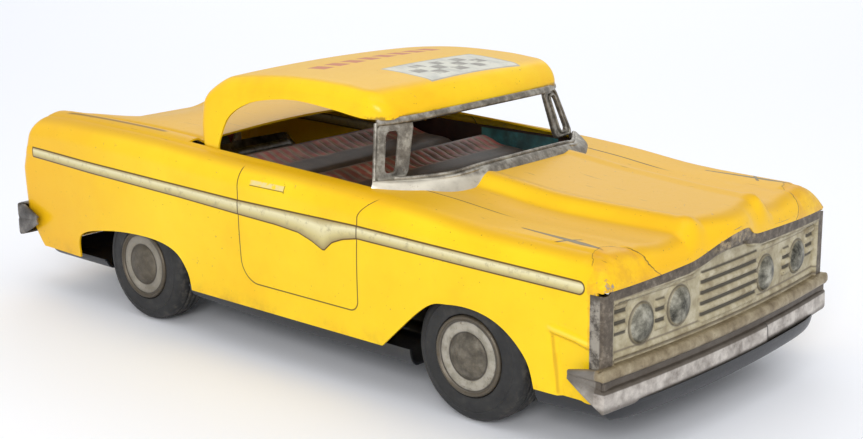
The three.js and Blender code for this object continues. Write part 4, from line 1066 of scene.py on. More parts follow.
def grille_paint(place, x, y, z):
    across = abs(y)
    fine = place.grain(1.2, 5, 0.7)
    blotch = place.grain(0.3, 5, 0.65)
    cream = place.node(
        "ValToRGB",
        {"stops": [(0.3, (0.24, 0.19, 0.11)), (0.5, (0.38, 0.33, 0.21)), (0.68, (0.52, 0.47, 0.34))]},
        Fac=blotch,
    )
    wave = ((z - LAMP_ROW) / BAR_PITCH * (2 * math.pi)).maths("COSINE", (z - LAMP_ROW) / BAR_PITCH * (2 * math.pi))
    middle = across.ease(11.6, 10.8) * z.within(22.6, 33.9, 0.3)
    between = across.within(23.6, 26.6, 0.2) * z.within(24.8, 31.4, 0.3)
    outside = across.within(35.8, 39.4, 0.2) * z.within(26.4, 33.8, 0.3)
    gaps = wave.ease(-0.05, -0.75) * middle.most(between).most(outside)
    cream = flat_tone(place, (0.055, 0.045, 0.03)).over(cream, gaps * 0.95)
    shade = line_mask(z - 21.6, 0.32, 0.2) + line_mask(z - 23.2, 0.2, 0.15) * across.ease(11, 12)
    cream = flat_tone(place, (0.14, 0.11, 0.075)).over(cream, shade * 0.75)
    upper = (line_mask(z - 34.35, 0.16, 0.1) + line_mask(z - 33.0, 0.14, 0.1)) * across.ease(12.5, 14)
    cream = flat_tone(place, (0.17, 0.14, 0.09)).over(cream, upper * 0.6)
    lens = None
    rings = None
    for middle_y, middle_z, wide, tall in LAMPS:
        away = hypot((y - middle_y) / wide, (z - middle_z) / tall)
        disc = away.ease(1.04, 0.96)
        ring = line_mask(away - 1.07, 0.06, 0.05)
        lens = disc if lens is None else lens.most(disc)
        rings = ring if rings is None else rings.most(ring)
    silver = place.node(
        "ValToRGB",
        {"stops": [(0.35, (0.05, 0.048, 0.038)), (0.5, (0.20, 0.19, 0.15)), (0.66, (0.46, 0.44, 0.36))]},
        Fac=place.grain(0.3, 5, 0.65),
    )
    tone = silver.over(cream, lens)
    tone = flat_tone(place, (0.12, 0.10, 0.07)).over(tone, rings * 0.8)
    top = graph_of(y, [(-44, 34.3), (-17, 34.9), (-11.5, 35.7), (-6.7, 36.6), (7.6, 36.2), (11, 35.4), (44, 34.6)])
    rim = (z - top).ease(-0.2, 0.1).most(across.ease(GRILLE_HALF - GRILLE_FRAME - 0.1, GRILLE_HALF - GRILLE_FRAME + 0.3))
    rim_tone = place.node(
        "ValToRGB",
        {"stops": [(0.33, (0.055, 0.042, 0.03)), (0.52, (0.115, 0.092, 0.068)), (0.70, (0.26, 0.22, 0.17))]},
        Fac=place.grain(0.45, 5, 0.7),
    )
    tone = rim_tone.over(tone, rim)
    turned = across.ease(42.2, 42.6) * (nose_face(GRILLE_HALF) - 0.35 - x).ease(0.0, 0.4)
    worn_edge = turned * place.grain(0.35, 5, 0.7).ease(0.38, 0.56) * z.within(17.5, 34.5, 0.8)
    tone = flat_tone(place, (0.07, 0.06, 0.048)).over(tone, turned * 0.8)
    tone = flat_tone(place, (0.34, 0.31, 0.26)).over(tone, worn_edge * 0.9)
    badge = y.within(-8, 9, 1.5) * (z - top).ease(0.6, 1.4) * place.grain(0.55, 5, 0.75).ease(0.46, 0.6)
    tone = flat_tone(place, (0.42, 0.33, 0.20)).over(tone, badge * 0.7)
    pits = (fine + rim * 0.03).ease(0.66, 0.72)
    tone = flat_tone(place, (0.11, 0.075, 0.045)).over(tone, pits * 0.8)
    metal = (rim * 0.3).most(lens * 0.75)
    return {
        "Base Color": tone,
        "Roughness": 0.42 - lens * 0.12 + fine * 0.2,
        "Metallic": metal * (1 - pits),
        "Normal": bumped(fine * 0.6 + blotch - pits, 0.4, 0.12),
    }


grille.data.materials.clear()
grille.data.materials.append(finish_of("grille_print", grille_paint))
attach(grille, "car_body")
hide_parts("grille_panel")

# --- Front bumper -------------------------------------------------------------------------------------------
# A plated tin channel bent round the nose: a ledge along the top, a groove, and a wide lower band. Its two ends
# turn back at a sharp fold and taper to a point on the sides of the body.

bumper_low, bumper_high = (tuple(c / MM for c in corner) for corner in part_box("front_bumper"))
BUMPER_HALF = bumper_high[1]
BUMPER_FOOT = bumper_low[2]
BUMPER_TOP = bumper_high[2]
BUMPER_PROUD = 1.4
WING = 8.6
# The section from the bottom edge up, as (out from the nose, height): lower band, groove, ledge, lip.
FRONT_SECTION = [
    (-0.9, BUMPER_FOOT), (-0.1, BUMPER_FOOT + 0.1), (0.15, BUMPER_FOOT + 0.7), (0.1, 14.6), (0.0, 15.9),
    (-0.25, 16.3), (-1.15, 16.7), (-1.25, 18.4), (-0.35, 18.9), (0.0, 19.4), (-0.1, 20.2),
    (-0.6, BUMPER_TOP), (-2.2, BUMPER_TOP + 0.05), (-3.4, BUMPER_TOP - 0.2),
]


def bumper_grid(section, half, face, corner_back, wing, tip_height, columns=150, stagger=0.0):
    """A bent channel: its section carried across the car's width, then back round each corner to a point."""
    section = np.array(smooth_line(section, 4))
    rows = []
    for step in np.linspace(1, 0, 26)[:-1]:
        tip = step**1.15
        x = corner_back - wing * step
        z = section[:, 1] + (tip_height - section[:, 1]) * tip * 0.86
        out = section[:, 0] * (1 - 0.85 * tip)
        rows.append(np.stack([np.full(len(z), x), -half - 0 * z - out * 0.4 * (step > 0) + 0.0, z], axis=-1))
    for y in np.linspace(-half, 0, columns // 2):
        z = section[:, 1]
        pull = np.clip((abs(y) - half + 3.5) / 3.5, 0, 1)
        out = section[:, 0] * (1 - 0.6 * pull)
        rows.append(np.stack([face(y) + out, np.full(len(z), y), z], axis=-1))
    near = np.stack(rows)
    far = near[-2::-1] * np.array([1, -1, 1])
    return np.concatenate([near, far], axis=0)


def bumper_face(y):
    return nose_face(y * HALF / BUMPER_HALF) + BUMPER_PROUD - 0.1


front_rows = bumper_grid(FRONT_SECTION, BUMPER_HALF - 0.4, bumper_face, bumper_face(BUMPER_HALF), WING, 18.8)
band = (front_rows[:, :, 2] < 16.9) * soft_step(front_rows[:, :, 1], 13.2, 13.6)
front_rows[:, :, 0] -= 0.5 * band
front_bumper = sheet_object("front_bumper_pressing", front_rows, wall=0.45)
applied(front_bumper)
smoothed(front_bumper, 40)


def bumper_paint(place, x, y, z):
    across = abs(y)
    blotch = place.grain(0.25, 5, 0.65)
    fine = place.grain(1.6, 5, 0.7)
    band = place.node(
        "ValToRGB",
        {"stops": [(0.28, (0.20, 0.175, 0.15)), (0.46, (0.43, 0.39, 0.35)), (0.64, (0.66, 0.615, 0.56))]},
        Fac=blotch,
    )
    ledge = place.node(
        "ValToRGB",
        {"stops": [(0.3, (0.17, 0.125, 0.07)), (0.5, (0.32, 0.26, 0.165)), (0.7, (0.48, 0.41, 0.28))]},
        Fac=blotch,
    )
    wing = x.ease(96.8, 96.2)
    tone = ledge.over(band, z.ease(18.4, 18.9) * (1 - wing))
    # Painted shade: the recessed groove between the ledge and the lower band is painted dark.
    groove_shade = z.within(16.15, 18.75, 0.15) * (1 - wing)
    tone = flat_tone(place, (0.075, 0.058, 0.042)).over(tone, groove_shade * 0.9)
    tone = flat_tone(place, (0.15, 0.135, 0.115)).over(tone, wing * (0.35 + z.ease(14, 18) * 0.45))
    joint = line_mask(y - 13.2, 0.3, 0.15) * (1 - z.ease(16.6, 17.0))
    tone = flat_tone(place, (0.05, 0.045, 0.04)).over(tone, joint * 0.85)
    rust = place.grain(0.9, 6, 0.75).ease(0.60, 0.70)
    tone = flat_tone(place, (0.13, 0.085, 0.05)).over(tone, rust * 0.7)
    foot = (1 - z.ease(12.6, 13.8)) * (blotch + 0.1).ease(0.4, 0.6)
    tone = flat_tone(place, (0.09, 0.075, 0.06)).over(tone, foot * 0.7)
    return {
        "Base Color": tone,
        "Roughness": 0.36 + fine * 0.22 + rust * 0.15,
        "Metallic": 0.72 - rust * 0.5 - groove_shade * 0.3,
        "Normal": bumped(fine * 0.5 + blotch * 1.4 - rust * 0.6, 0.4, 0.12),
    }


front_bumper.data.materials.clear()
front_bumper.data.materials.append(finish_of("worn_plating", bumper_paint))
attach(front_bumper, "car_body")
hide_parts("front_bumper")

# --- Rear bumper --------------------------------------------------------------------------------------------
# The same kind of channel at the tail, lower and plainer, its plating painted dark as shade.

rear_low, rear_high = (tuple(c / MM for c in corner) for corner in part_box("rear_bumper"))
REAR_SECTION = [
    (-0.8, rear_low[2]), (0.0, rear_low[2] + 0.3), (0.2, 17.5), (0.1, 19.0), (-0.45, 19.5),
    (-0.45, 20.1), (0.1, 20.7), (0.2, 22.4), (-0.2, rear_high[2] - 0.1), (-1.4, rear_high[2]), (-2.2, rear_high[2] - 0.1),
]


def rear_face(y):
    return -rear_low[0] - 0.2 - 1.0 * abs(y / rear_high[1]) ** 4


rear_rows = bumper_grid(REAR_SECTION, rear_high[1] - 0.4, rear_face, rear_face(rear_high[1]), 8.6, 20.4)
rear_rows = rear_rows[::-1] * np.array([-1, 1, 1])
rear_bumper = sheet_object("rear_bumper_pressing", rear_rows, wall=0.45)
applied(rear_bumper)
smoothed(rear_bumper, 40)


def shade_darkened_plating_paint(place, x, y, z):
    blotch = place.grain(0.22, 5, 0.65)
    fine = place.grain(1.6, 5, 0.7)
    # The plating's tones are painted dark as the shade the bumper stands in; the rust is its own.
    tone = place.node(
        "ValToRGB",
        {"stops": [(0.3, (0.06, 0.055, 0.05)), (0.5, (0.15, 0.14, 0.13)), (0.7, (0.33, 0.31, 0.28))]},
        Fac=blotch,
    )
    rust = place.grain(0.8, 6, 0.75).ease(0.58, 0.70)
    tone = flat_tone(place, (0.12, 0.07, 0.04)).over(tone, rust * 0.7)
    return {
        "Base Color": tone,
        "Roughness": 0.36 + fine * 0.25,
        "Metallic": 0.75 - rust * 0.5,
        "Normal": bumped(fine * 0.5 + blotch * 1.2, 0.4, 0.12),
    }


shade_darkened_plating = finish_of("shade_darkened_plating", shade_darkened_plating_paint)
rear_bumper.data.materials.clear()
rear_bumper.data.materials.append(shade_darkened_plating)
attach(rear_bumper, "car_body")
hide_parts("rear_bumper")

# --- Tail panel ---------------------------------------------------------------------------------------------
# A printed sheet tabbed in behind the opening in the body's back, embossed with two round lamps at each side
# and level ribs between them.

TAIL_LAMPS = (19.8, 29.6)
TAIL_LAMP = 4.0
TAIL_RIB = 2.1
TAIL_ROW = 32.0


def tail_grid():
    y = np.linspace(-tail_half - 1.6, tail_half + 1.6, 340)[:, None]
    z = np.linspace(tail_low - 1.6, tail_high + 1.6, 90)[None, :]
    across = np.abs(y)
    relief = 0.25 * np.ones_like(y * z)
    ribs = (0.5 + 0.5 * np.cos(2 * math.pi * (z - TAIL_ROW) / TAIL_RIB)) * (1 - soft_step(across, 13, 13.8))
    relief = relief + 0.5 * ribs * soft_step(z, tail_low + 1, tail_low + 1.6) * (1 - soft_step(z, tail_high - 1.6, tail_high - 1))
    for lamp in TAIL_LAMPS:
        away = np.hypot(across - lamp, z - TAIL_ROW) / TAIL_LAMP
        relief = relief + 1.5 * np.sqrt(np.clip(1 - away**2, 0, 1)) + 0.3 * np.exp(-(((away - 1.16) / 0.09) ** 2))
    x = TAIL - TAIL_LEAN * tail_lean(z) + SHEET + 0.75 - relief
    return np.stack([x + 0 * y, y + 0 * x, z + 0 * x], axis=-1)[::-1]


tail = sheet_object("tail_pressing", tail_grid(), wall=0.4)
applied(tail)
smoothed(tail, 50)


def tail_paint(place, x, y, z):
    across = abs(y)
    fine = place.grain(1.2, 5, 0.7)
    blotch = place.grain(0.3, 5, 0.65)
    cream = place.node(
        "ValToRGB",
        {"stops": [(0.3, (0.34, 0.30, 0.22)), (0.5, (0.50, 0.47, 0.38)), (0.68, (0.64, 0.62, 0.54))]},
        Fac=blotch,
    )
    turn = (z - TAIL_ROW) / TAIL_RIB * (2 * math.pi)
    ribs = turn.maths("COSINE", turn).ease(-0.1, -0.8) * across.ease(13.7, 13.1) * z.within(27.4, 36.6, 0.2)
    tone = flat_tone(place, (0.10, 0.085, 0.07)).over(cream, ribs * 0.85)
    for lamp in TAIL_LAMPS:
        away = hypot(across - lamp, z - TAIL_ROW)
        tone = flat_tone(place, (0.10, 0.08, 0.06)).over(tone, line_mask(away - TAIL_LAMP - 0.3, 0.25, 0.15) * 0.8)
        red = flat_tone(place, (0.22, 0.012, 0.01)).over(flat_tone(place, (0.48, 0.03, 0.02)), blotch.ease(0.4, 0.6))
        tone = red.over(tone, away.ease(TAIL_LAMP + 0.1, TAIL_LAMP - 0.15))
        tone = flat_tone(place, (0.62, 0.60, 0.55)).over(tone, away.ease(1.35, 1.1))
    rust = fine.ease(0.64, 0.72)
    tone = flat_tone(place, (0.12, 0.075, 0.04)).over(tone, rust * 0.7)
    return {
        "Base Color": tone,
        "Roughness": 0.34 + fine * 0.2,
        "Metallic": 0.35 - rust * 0.3,
        "Coat Weight": 0.3,
        "Normal": bumped(fine * 0.5 + blotch, 0.3, 0.1),
    }


tail.data.materials.clear()
tail.data.materials.append(finish_of("tail_print", tail_paint))
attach(tail, "car_body")
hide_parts("tail_panel")

# --- Interior -----------------------------------------------------------------------------------------------
# One printed sheet pressed into two benches with a footwell between them, and turned up at each side as the
# door cards. It is printed with red pleats on taupe, a grey-green floor and teal cards, all painted much darker
# as the shade under the roof; outside a teal patch the cards are painted near black as shade.

pan_low, pan_high = (tuple(c / MM for c in corner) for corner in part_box("interior_pan"))
BENCH_HALF = 35.4
CARD_HALF = 38.6
CARD_TOP = 45.2
FLOOR = 38.0
BENCHES = (-26.5, 2.4)
PLEAT = 2.9

bench_height = through(
    [
        (pan_low[0], FLOOR + 2.4), (-34, 41.4), (-29, 43.0), (-26, 43.4), (-22.5, 42.2), (-18, 41.2), (-11, 40.8),
        (-8, 39.4), (-4, 39.6), (-1, 41.8), (1.6, 43.2), (4.4, 42.8), (8, 41.6), (15, 41.0),
        (19.4, 39.2), (34, 38.6), (pan_high[0], 40.5),
    ]
)


def pan_grid():
    x = np.linspace(pan_low[0] + 0.5, pan_high[0] - 2.5, 320)[:, None]
    floor_half = np.interp(x, [27, 40], [CARD_HALF, CARD_HALF - 9])
    s = np.linspace(0, 1, 150)[None, :]
    y = BENCH_HALF * s * floor_half / CARD_HALF
    z = bench_height(x) + 0 * y
    flank = soft_step(y, BENCH_HALF - 1.6, BENCH_HALF)
    seat = np.zeros_like(z)
    for start in BENCHES:
        cushion = soft_step(x, start, start + 1) * (1 - soft_step(x, start + 7.0, start + 8.0))
        seat = seat + cushion
    pleats = np.abs(np.sin(math.pi * y / PLEAT)) ** 0.6
    z = z + 0.3 * seat * (pleats - 1) * (1 - flank)
    z = FLOOR + (z - FLOOR) * (1 - flank)
    card_s = np.linspace(0, 1, 16)[None, 1:]
    card_y = (BENCH_HALF + (CARD_HALF - BENCH_HALF) * np.clip(card_s * 2.2, 0, 1)) * floor_half / CARD_HALF + 0 * x
    card_z = FLOOR + (CARD_TOP - FLOOR) * np.clip((card_s - 0.42) / 0.58, 0, 1) + 0 * x
    half_y = np.concatenate([y, card_y], axis=1)
    half_z = np.concatenate([z, card_z], axis=1)
    full_y = np.concatenate([-half_y[:, ::-1], half_y[:, 1:]], axis=1)
    full_z = np.concatenate([half_z[:, ::-1], half_z[:, 1:]], axis=1)
    return np.stack([x + 0 * full_y, full_y, full_z], axis=-1)


interior = sheet_object("interior_pressing", pan_grid(), wall=0.4)
applied(interior)
smoothed(interior, 50)


def interior_paint(place, x, y, z):
    across = abs(y)
    blotch = place.grain(0.2, 5, 0.65)
    fine = place.grain(1.5, 4, 0.7)
    # All the tones below are painted darker than the print, as the shade under the roof.
    taupe = flat_tone(place, (0.10, 0.062, 0.048)).over(flat_tone(place, (0.19, 0.13, 0.10)), blotch.ease(0.3, 0.7))
    floor_tone = flat_tone(place, (0.04, 0.032, 0.025)).over(flat_tone(place, (0.085, 0.062, 0.048)), blotch.ease(0.3, 0.7))
    seats = None
    cushions = None
    for start in BENCHES:
        bench = x.within(start - 8.5, start + 8.4, 0.4)
        cushion = x.within(start, start + 7.6, 0.25)
        seats = bench if seats is None else seats.most(bench)
        cushions = cushion if cushions is None else cushions.most(cushion)
    tone = taupe.over(floor_tone, seats * across.ease(BENCH_HALF + 0.2, BENCH_HALF - 0.6))
    stripe = (y / PLEAT).maths("FRACT", y / PLEAT + 20).within(0.22, 0.78, 0.1)
    wear = place.grain(0.3, 4, 0.6).ease(0.25, 0.6)
    cushion_mask = cushions * across.ease(BENCH_HALF - 1.0, BENCH_HALF - 1.8)
    red = flat_tone(place, (0.25, 0.03, 0.025)).over(flat_tone(place, (0.34, 0.08, 0.06)), blotch)
    pale = flat_tone(place, (0.27, 0.20, 0.15))
    tone = pale.over(tone, cushion_mask * 0.75)
    tone = red.over(tone, cushion_mask * stripe * (0.45 + 0.5 * wear))
    card = across.ease(BENCH_HALF + 0.8, BENCH_HALF + 1.6)
    teal = flat_tone(place, (0.04, 0.16, 0.18)).over(flat_tone(place, (0.09, 0.32, 0.36)), blotch.ease(0.3, 0.6))
    # Painted shade: the cards are near black outside their teal patch.
    card_shade = flat_tone(place, (0.022, 0.009, 0.008)).over(flat_tone(place, (0.045, 0.02, 0.016)), blotch.ease(0.35, 0.65))
    tone = card_shade.over(tone, card)
    tone = teal.over(tone, card * x.within(-2, 24, 0.3) * z.within(40.0, 44.6, 0.2))
    piping = card * x.within(-2.3, 24.3, 0.1) * line_mask(z - 40.0, 0.16, 0.1)
    tone = flat_tone(place, (0.30, 0.26, 0.17)).over(tone, piping * 0.8)
    # Blotchy darkening over the whole sheet: dirt, and painted shade under the roof, together.
    dirt_and_shade = (1 - place.grain(0.12, 4, 0.6).ease(0.35, 0.65)) * 0.7
    tone = flat_tone(place, (0.03, 0.022, 0.018)).over(tone, dirt_and_shade)
    return {
        "Base Color": tone,
        "Roughness": 0.5 + fine * 0.2,
        "Specular IOR Level": 0.25,
        "Coat Weight": 0.05,
        "Coat Roughness": 0.3,
        "Normal": bumped(fine * 0.3 + blotch, 0.3, 0.1),
    }


interior.data.materials.clear()
interior.data.materials.append(finish_of("seat_print", interior_paint))
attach(interior, "car_body")
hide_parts("interior_pan")

# --- Base plate ---------------------------------------------------------------------------------------------
# The black tray that closes the car from below, pressed with two ribs at each side and turned up all round
# inside the body's sill. Notches clear the tyres, and a window under the motor clears the axle gear.


def black_enamel_paint(place, x, y, z):
    blotch = place.grain(0.12, 5, 0.65)
    fine = place.grain(1.4, 5, 0.7)
    tone = place.node(
        "ValToRGB",
        {"stops": [(0.3, (0.005, 0.006, 0.008)), (0.55, (0.009, 0.010, 0.013)), (0.75, (0.022, 0.022, 0.022))]},
        Fac=blotch,
    )
    scuff = place.node("VectorMath", {"operation": "MULTIPLY"}, i0=place, i1=(0.25, 1.2, 1.0)).grain(0.6, 5, 0.7)
    bare = (scuff + (1 - z.ease(8.0, 8.5)) * 0.03).ease(0.72, 0.76)
    tone = flat_tone(place, (0.22, 0.19, 0.16)).over(tone, bare * 0.85)
    return {
        "Base Color": tone,
        "Roughness": 0.32 + fine * 0.25,
        "Metallic": bare * 0.7,
        "Coat Weight": 0.2,
        "Normal": bumped(fine * 0.5 + blotch - bare * 0.4, 0.35, 0.12),
    }


base_low, base_high = (tuple(c / MM for c in corner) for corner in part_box("base_plate"))
TRAY_TURN = 2.6
TRAY_RISE = 4.4
TYRE_GAP = 1.6
ARCH_REACH = 17.4


def tray_grid():
    """The underside of the tray: level in the middle, rising to its turned-up edges."""
    run = 0.5 - 0.5 * np.cos(np.linspace(0, math.pi, 260))[:, None]
    half = base_high[1] - 0.6
    y = half * np.sin(np.linspace(-math.pi / 2, math.pi / 2, 150))[None, :]
    front = nose_face(y) + 2.4 - 3.4 * (y / half) ** 12
    x = base_low[0] + 0.5 + (front - base_low[0] - 0.5) * run
    from_edge = np.minimum(np.minimum(half - np.abs(y) + 0 * x, x - base_low[0] - 0.5), front - x)
    into = np.clip(1 - from_edge / TRAY_TURN, 0, 1)
    turned = TRAY_RISE * (1 - np.sqrt(np.clip(1 - into**2, 0, 1)))
    slope = (2.4 - 2.2 * soft_step(x, -60, 5)) * np.clip((np.abs(y) - 15) / (half - 15), 0, 1) ** 1.4
    slope = slope + 0.5 * soft_step(x, FRONT_AXLE + 17, front - 4)
    ribs = 0.5 * (hump(np.abs(y), 17, 1.8) + hump(np.abs(y), 24, 1.8)) * soft_step(x, -40, -37) * (1 - soft_step(x, 36, 39))
    z = np.minimum(base_low[2] + turned + slope + ribs, SILL - 0.1)
    return np.stack([x, y + 0 * x, z], axis=-1)


tray = sheet_object("base_tray", tray_grid(), wall=SHEET)
applied(tray)
tyre_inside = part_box("front_left_tyre")[0][1] / MM - TYRE_GAP
notches = []
for axle in (FRONT_AXLE, REAR_AXLE):
    for side in (-1, 1):
        notch = rounded_box(axle - ARCH_REACH, axle + ARCH_REACH, tyre_inside, 60, 2)
        notches.append(cutter("notch", [(x, side * y) for x, y in notch], 0, 30, "Z"))
window = rounded_box(REAR_AXLE - 13, REAR_AXLE + 13, -8.5, 8.5, 1.5)
notches.append(cutter("motor_window", window, 0, 12, "Z"))
cut(tray, notches)
smoothed(tray, 40)
tray.data.materials.clear()
tray.data.materials.append(finish_of("black_enamel", black_enamel_paint))
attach(tray, "car_body")
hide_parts("base_plate")

# --- Wheels -------------------------------------------------------------------------------------------------
# Four alike: a soft rubber tyre with a grooved tread over a turned bush, closed by a printed tin cap with a
# domed middle. The bush is pressed on a plain steel axle.

tyre_low, tyre_high = (tuple(c / MM for c in corner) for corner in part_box("front_left_tyre"))
TYRE = (tyre_high[0] - tyre_low[0]) / 2
TYRE_IN = tyre_low[1]
TYRE_OUT = tyre_high[1]
CAP = 9.0
TURNS = 120
# Each profile is (radius, place across the car), for the left wheels.
TYRE_PROFILE = [
    (6.6, TYRE_IN + 0.1), (9.5, TYRE_IN), (12.4, TYRE_IN + 0.1), (13.6, TYRE_IN + 0.5), (14.5, TYRE_IN + 1.3),
    (TYRE - 0.02, TYRE_IN + 2.4), (TYRE - 0.02, TYRE_IN + 3.1), (TYRE - 0.5, TYRE_IN + 3.3), (TYRE - 0.5, TYRE_IN + 3.6),
    (TYRE, TYRE_IN + 3.8), (TYRE, TYRE_IN + 4.6), (TYRE - 0.5, TYRE_IN + 4.8), (TYRE - 0.5, TYRE_IN + 5.1),
    (TYRE, TYRE_IN + 5.3), (TYRE, TYRE_IN + 6.1), (TYRE - 0.5, TYRE_IN + 6.3), (TYRE - 0.5, TYRE_IN + 6.6),
    (TYRE - 0.02, TYRE_IN + 6.8), (TYRE - 0.02, TYRE_IN + 7.5), (14.5, TYRE_OUT - 1.3), (13.6, TYRE_OUT - 0.5),
    (12.6, TYRE_OUT - 0.15), (12.3, TYRE_OUT + 0.05), (12.0, TYRE_OUT - 0.15), (10.4, TYRE_OUT - 0.05),
    (CAP + 0.35, TYRE_OUT - 0.1), (CAP + 0.12, TYRE_OUT - 0.5), (CAP + 0.1, TYRE_OUT - 1.2), (6.6, TYRE_OUT - 1.25),
]
CAP_PROFILE = [
    (0.02, TYRE_OUT + 0.95), (1.6, TYRE_OUT + 0.9), (3.2, TYRE_OUT + 0.65), (4.5, TYRE_OUT + 0.2), (5.0, TYRE_OUT - 0.1),
    (5.3, TYRE_OUT - 0.2), (5.7, TYRE_OUT + 0.0), (6.4, TYRE_OUT + 0.1), (7.2, TYRE_OUT + 0.0), (7.6, TYRE_OUT - 0.15),
    (7.9, TYRE_OUT - 0.1), (8.3, TYRE_OUT + 0.3), (8.7, TYRE_OUT + 0.25), (CAP, TYRE_OUT - 0.2), (CAP, TYRE_OUT - 1.1),
]


def turned_piece(name, profile, axle, side, closed):
    """A profile turned about an axle, smoothed, for the left side or mirrored for the right."""
    line = np.array(smooth_line(profile, 4))
    a = np.linspace(0, 2 * math.pi, TURNS + 1)[:-1]
    x = axle + line[:, None, 0] * np.cos(a)
    z = AXLE_HEIGHT + line[:, None, 0] * np.sin(a)
    y = side * line[:, None, 1] + 0 * x
    grid = np.stack([x, y, z], axis=-1)
    if closed:
        grid = np.concatenate([grid, grid[:1]], axis=0)
    made = sheet_object(name, grid, closed=True)
    form = bmesh.new()
    form.from_mesh(made.data)
    bmesh.ops.remove_doubles(form, verts=form.verts, dist=1e-7)
    bmesh.ops.recalc_face_normals(form, faces=form.faces)
    form.to_mesh(made.data)
    form.free()
    return made


def rubber_paint_about(axle):
    def paint(place, x, y, z):
        radius = hypot(x - axle, z - AXLE_HEIGHT)
        blotch = place.grain(0.25, 5, 0.65)
        fine = place.grain(1.8, 5, 0.7)
        tone = place.node(
            "ValToRGB",
            {"stops": [(0.3, (0.010, 0.010, 0.011)), (0.55, (0.020, 0.020, 0.020)), (0.75, (0.045, 0.042, 0.038))]},
            Fac=blotch,
        )
        dust = radius.ease(13.6, 14.9) * place.grain(0.5, 5, 0.7).ease(0.42, 0.7)
        tone = flat_tone(place, (0.12, 0.105, 0.085)).over(tone, dust * 0.6)
        return {
            "Base Color": tone,
            "Roughness": 0.55 + fine * 0.25,
            "Normal": bumped(fine * 0.7 + blotch * 0.6, 0.5, 0.12),
        }

    return paint


def cap_paint_about(axle, extra_darkening):
    def paint(place, x, y, z):
        radius = hypot(x - axle, z - AXLE_HEIGHT)
        blotch = place.grain(0.4, 5, 0.65)
        fine = place.grain(1.6, 5, 0.7)
        bright = place.node(
            "ValToRGB",
            {"stops": [(0.3, (0.15, 0.14, 0.12)), (0.5, (0.31, 0.295, 0.265)), (0.68, (0.48, 0.465, 0.43))]},
            Fac=blotch,
        )
        middle = place.node(
            "ValToRGB",
            {"stops": [(0.3, (0.07, 0.062, 0.05)), (0.5, (0.14, 0.125, 0.10)), (0.7, (0.26, 0.235, 0.19))]},
            Fac=blotch,
        )
        cream = flat_tone(place, (0.40, 0.37, 0.31)).over(flat_tone(place, (0.26, 0.24, 0.19)), blotch.ease(0.35, 0.6))
        tone = middle.over(bright, radius.ease(5.2, 4.9))
        tone = cream.over(tone, radius.within(5.4, 7.5, 0.12))
        lines = line_mask(radius - 5.2, 0.2, 0.12).most(line_mask(radius - 7.75, 0.18, 0.12))
        tone = flat_tone(place, (0.05, 0.04, 0.03)).over(tone, lines * 0.8)
        rust = place.grain(0.9, 6, 0.75).ease(0.57, 0.68)
        tone = flat_tone(place, (0.11, 0.07, 0.04)).over(tone, rust * 0.65)
        tone = flat_tone(place, (0.10, 0.08, 0.055)).over(tone, radius.ease(7.7, 8.1) * (0.45 + blotch * 0.8).least(1))
        # Blotchy darkening, stronger on the rear caps (0.6) than on the front ones (0.15).
        tone = flat_tone(place, (0.085, 0.07, 0.05)).over(tone, place.grain(0.2, 4, 0.6).ease(0.2, 0.6) * extra_darkening)
        return {
            "Base Color": tone,
            "Roughness": 0.34 + fine * 0.25,
            "Metallic": (1 - radius.within(5.4, 7.5, 0.12)) * 0.75 * (1 - rust),
            "Normal": bumped(fine * 0.6 + blotch * 1.2 - rust * 0.6, 0.4, 0.12),
        }

    return paint


def steel_paint(place, x, y, z):
    drawn = place.node("VectorMath", {"operation": "MULTIPLY"}, i0=place, i1=(3.0, 0.3, 3.0)).grain(1.2, 4, 0.6)
    blotch = place.grain(0.3, 5, 0.65)
    tone = place.node(
        "ValToRGB",
        {"stops": [(0.3, (0.20, 0.19, 0.175)), (0.52, (0.42, 0.41, 0.39)), (0.7, (0.58, 0.57, 0.55))]},
        Fac=blotch,
    )
    rust = place.grain(0.8, 6, 0.7).ease(0.60, 0.70)
    tone = flat_tone(place, (0.16, 0.075, 0.03)).over(tone, rust * 0.6)
    return {
        "Base Color": tone,
        "Roughness": 0.28 + drawn * 0.2 + rust * 0.2,
        "Metallic": 1 - rust * 0.7,
        "Normal": bumped(drawn * 0.6 + blotch, 0.25, 0.06),
    }


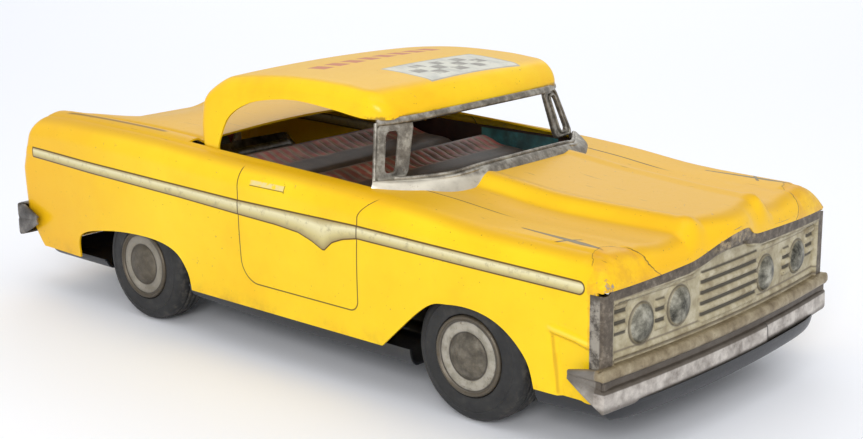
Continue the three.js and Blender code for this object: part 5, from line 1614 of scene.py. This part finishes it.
steel = finish_of("drawn_steel", steel_paint)
for end, axle in (("front", FRONT_AXLE), ("rear", REAR_AXLE)):
    rubber = finish_of(end + "_rubber", rubber_paint_about(axle))
    cap_print = finish_of(end + "_cap_print", cap_paint_about(axle, 0.15 if end == "front" else 0.6))
    for side_name, side in (("left", 1), ("right", -1)):
        tyre = turned_piece(end + "_" + side_name + "_tread", TYRE_PROFILE, axle, side, True)
        cap_piece = turned_piece(end + "_" + side_name + "_cap", CAP_PROFILE, axle, side, False)
        thicken = cap_piece.modifiers.new("sheet", "SOLIDIFY")
        thicken.thickness = 0.35 * MM
        thicken.offset = -1
        applied(cap_piece)
        for made, finish, node, slot in (
            (tyre, rubber, "tyre", "rubber"),
            (cap_piece, cap_print, "hub_cap", "cap_print"),
        ):
            smoothed(made, 40)
            made.data.materials.clear()
            made.data.materials.append(finish)
            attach(made, end + "_wheelset")
            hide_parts(end + "_" + side_name + "_" + node)
        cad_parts[end + "_" + side_name + "_bush"].data.materials.clear()
        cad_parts[end + "_" + side_name + "_bush"].data.materials.append(steel)
    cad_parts[end + "_axle"].data.materials.clear()
    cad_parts[end + "_axle"].data.materials.append(steel)

# --- Friction motor -----------------------------------------------------------------------------------------
# Two steel plates on three riveted posts carry the train: a brass gear on the rear axle drives a brass pinion,
# whose big gear drives the flywheel's pinion, and the flywheel is a cast weight.


def brass_paint(place, x, y, z):
    blotch = place.grain(0.35, 5, 0.65)
    fine = place.grain(2.0, 4, 0.7)
    tone = place.node(
        "ValToRGB",
        {"stops": [(0.3, (0.24, 0.15, 0.05)), (0.5, (0.50, 0.35, 0.12)), (0.7, (0.66, 0.50, 0.20))]},
        Fac=blotch,
    )
    return {
        "Base Color": tone,
        "Roughness": 0.3 + fine * 0.2,
        "Metallic": 0.95,
        "Normal": bumped(fine * 0.5 + blotch, 0.25, 0.06),
    }


def cast_paint(place, x, y, z):
    pits = place.grain(1.0, 6, 0.75)
    blotch = place.grain(0.2, 5, 0.65)
    tone = place.node(
        "ValToRGB",
        {"stops": [(0.3, (0.09, 0.088, 0.085)), (0.5, (0.19, 0.185, 0.18)), (0.7, (0.30, 0.295, 0.29))]},
        Fac=blotch,
    )
    return {
        "Base Color": tone,
        "Roughness": 0.5 + pits * 0.25,
        "Metallic": 0.8,
        "Normal": bumped(pits * 1.5 + blotch, 0.5, 0.15),
    }


brass = finish_of("turned_brass", brass_paint)
cast_weight = finish_of("cast_weight", cast_paint)
MOTOR_FINISHES = {
    "axle_gear": brass,
    "idler_pinion": brass,
    "idler_gear": brass,
    "flywheel_pinion": brass,
    "flywheel": cast_weight,
    "idler_shaft": steel,
    "flywheel_shaft": steel,
    "motor_plate_left": steel,
    "motor_plate_right": steel,
    "motor_post_front": steel,
    "motor_post_rear": steel,
    "motor_post_upper": steel,
    "front_axle_bracket": steel,
}
for name, finish in MOTOR_FINISHES.items():
    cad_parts[name].data.materials.clear()
    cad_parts[name].data.materials.append(finish)
